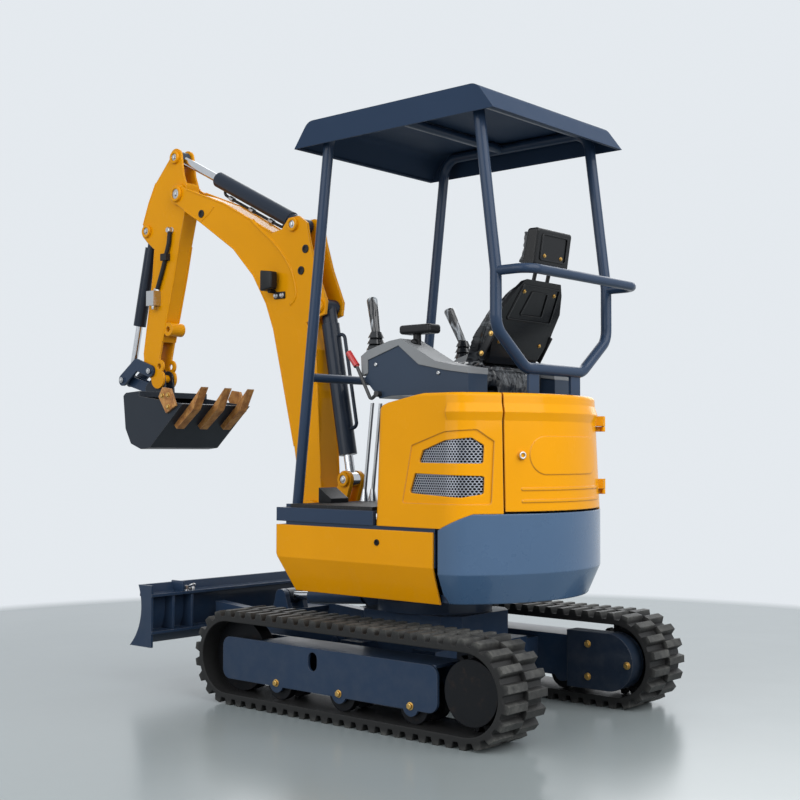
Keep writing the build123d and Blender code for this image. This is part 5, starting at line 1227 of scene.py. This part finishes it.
# %% [markdown]
# The boom and the arm are boxes welded from plates, and the welds run along their edges as rounded beads
# that catch the light. Each bead is a curve with a round section that follows the plates' edge. Hexagon
# fittings close the ends of the arm's hose, and a nipple hangs under its valve.

# %% Welds and fittings
BEAD = 0.0045
BEAD_SINK = 0.0015
BOOM_EDGES = (
    ((0.605, 0.914), (0.640, 1.477), (0.700, 1.600)),
    ((0.925, 2.030), (1.004, 2.072), (1.259, 2.206), (1.528, 2.308)),
    (
        (1.553, 2.210), (1.428, 2.138), (1.187, 1.983), (1.048, 1.845), (0.958, 1.706), (0.908, 1.584),
        (0.857, 1.390), (0.770, 1.050),
    ),
    ((1.328, 2.201), (1.364, 2.172), (1.425, 2.138)),
)
ARM_EDGES = (
    ((1.797, 2.378), (1.850, 2.284), (1.895, 2.177)),
    ((1.800, 2.040), (1.812, 1.899), (1.846, 1.691), (1.876, 1.520), (1.866, 1.420)),
    ((1.734, 1.573), (1.649, 1.885), (1.612, 2.046)),
)
BOOM_RIB = (
    (1.060, 2.102), (1.007, 2.056), (0.922, 1.994), (0.848, 1.922), (0.793, 1.846), (0.766, 1.767),
    (0.764, 1.710), (0.800, 1.690),
)
RIB = 0.009
RIB_SINK = 0.0035
HOSE_NUT = (0.027, 0.026, 0.017)
HOSE_ENDS = (((1.668, 0.042, 2.124), (0, 1, 0)), ((1.775, 0.053, 1.812), (-0.40, 0, 0.92)))
NIPPLE = (0.018, 0.018, 0.010)
NIPPLE_PLACE = ((1.778, 0.065, 1.755), (0, 0, -1))
BEAD_SMOOTH = 50


def upright(route, y):
    """A route of X and Z as points on an upright face."""
    return [(x, y, z) for x, z in route]


for body, edges, face in (("boom", BOOM_EDGES, BOOM_FACE), ("arm", ARM_EDGES, ARM_FACE)):
    beads = [tube(upright(route, side * (face - BEAD_SINK)), BEAD) for route in edges for side in SIDES]
    complete(joined(beads), f"{body}_welds", yellow_enamel, body, BEAD_SMOOTH)

ribs = [tube(upright(BOOM_RIB, side * (BOOM_FACE - RIB_SINK)), RIB, "NURBS") for side in SIDES]
complete(joined(ribs), "boom_ribs", yellow_enamel, "boom", BEAD_SMOOTH)
fasten("hose_nuts", HOSE_NUT, HOSE_ENDS, bright_zinc, "arm")
fasten("valve_nipple", NIPPLE, [NIPPLE_PLACE], bright_zinc, "arm")

# %% [markdown]
# The stage is a wide grey floor that gives way to a pale backdrop, under soft light from three large lamps
# and a bright sky. The floor is smooth enough to hold a blurred reflection, as sealed concrete does.

# %% Stage
FLOOR_SIZE = 120
FLOOR_COLOUR = (0.27, 0.305, 0.31)
FLOOR_REACH = (4.0, 4.3)
BACKDROP = (0.78, 0.82, 0.86)
SKY_LIGHT = 0.62
CLOUD_SHARE = 0.92
LAMP_AIM = Vector((0.2, 0, 1))
# Each lamp's place, size and power.
LAMPS = {
    "key": ((-5.8, 0.3, 5.2), (8, 8), 640),
    "fill": ((0.5, 6.5, 3.8), (7, 5), 250),
    "rim": ((3.0, -5.5, 4.2), (7, 5), 180),
}


def seen_rays(tree):
    """A socket that is 1 for rays from the camera, a mirror or glass, and 0 for other light."""
    path = tree.nodes.new("ShaderNodeLightPath")
    seen = path.outputs["Is Camera Ray"]
    for name in ("Is Glossy Ray", "Is Transmission Ray"):
        either = tree.nodes.new("ShaderNodeMath")
        either.operation = "MAXIMUM"
        tree.links.new(seen, either.inputs[0])
        tree.links.new(path.outputs[name], either.inputs[1])
        seen = either.outputs[0]
    return seen


def floor_finish():
    """A grey sealed floor that gives way to a pale backdrop all round."""
    ground = Finish("sealed_floor")
    cloud = ground.noise(1.3, 5)
    ground.set(
        base_color=ground.mix(cloud, tuple(part * CLOUD_SHARE for part in FLOOR_COLOUR), FLOOR_COLOUR),
        roughness=0.18 + cloud * 0.1,
    )
    x, y, _ = ground.parts()
    away = ((x ** 2 + y ** 2) ** 0.5 - FLOOR_REACH[0]) / (FLOOR_REACH[1] - FLOOR_REACH[0])
    share = ground.ramp(away, (0, 0), (1, 1)) * Wire(ground, seen_rays(ground.tree))
    pale = ground.node("ShaderNodeEmission", sockets={"Color": (*BACKDROP, 1)})
    near = Wire(ground, ground.shader.outputs[0])
    blend = ground.node("ShaderNodeMixShader", sockets={0: share, 1: near, 2: pale})
    ground.tree.links.new(blend.socket, ground.tree.nodes["Material Output"].inputs["Surface"])
    return ground.material


deselect()
bpy.ops.mesh.primitive_plane_add(size=FLOOR_SIZE, location=(0, 0, 0))
floor = bpy.context.object
floor.name = "floor"
floor.data.materials.append(floor_finish())


def soft_lamp(name, place, size, power):
    """A lamp aimed at the machine, so large that its mirror image on gloss stays mild."""
    bpy.ops.object.light_add(type="AREA", location=place)
    lamp = bpy.context.object
    lamp.name = name
    lamp.data.shape = "RECTANGLE"
    lamp.data.size, lamp.data.size_y = size
    lamp.data.energy = power
    aim = LAMP_AIM - Vector(place)
    lamp.rotation_euler = aim.to_track_quat("-Z", "Y").to_euler()


for name, (place, size, power) in LAMPS.items():
    soft_lamp(name, place, size, power)

world = bpy.data.worlds.new("sky")
world.use_nodes = True
bpy.context.scene.world = world
sky = world.node_tree
background = sky.nodes["Background"]
background.inputs["Color"].default_value = (*BACKDROP, 1)
strength = sky.nodes.new("ShaderNodeMapRange")
strength.inputs["To Min"].default_value = SKY_LIGHT
sky.links.new(seen_rays(sky), strength.inputs["Value"])
sky.links.new(strength.outputs[0], background.inputs["Strength"])
print("stage set")
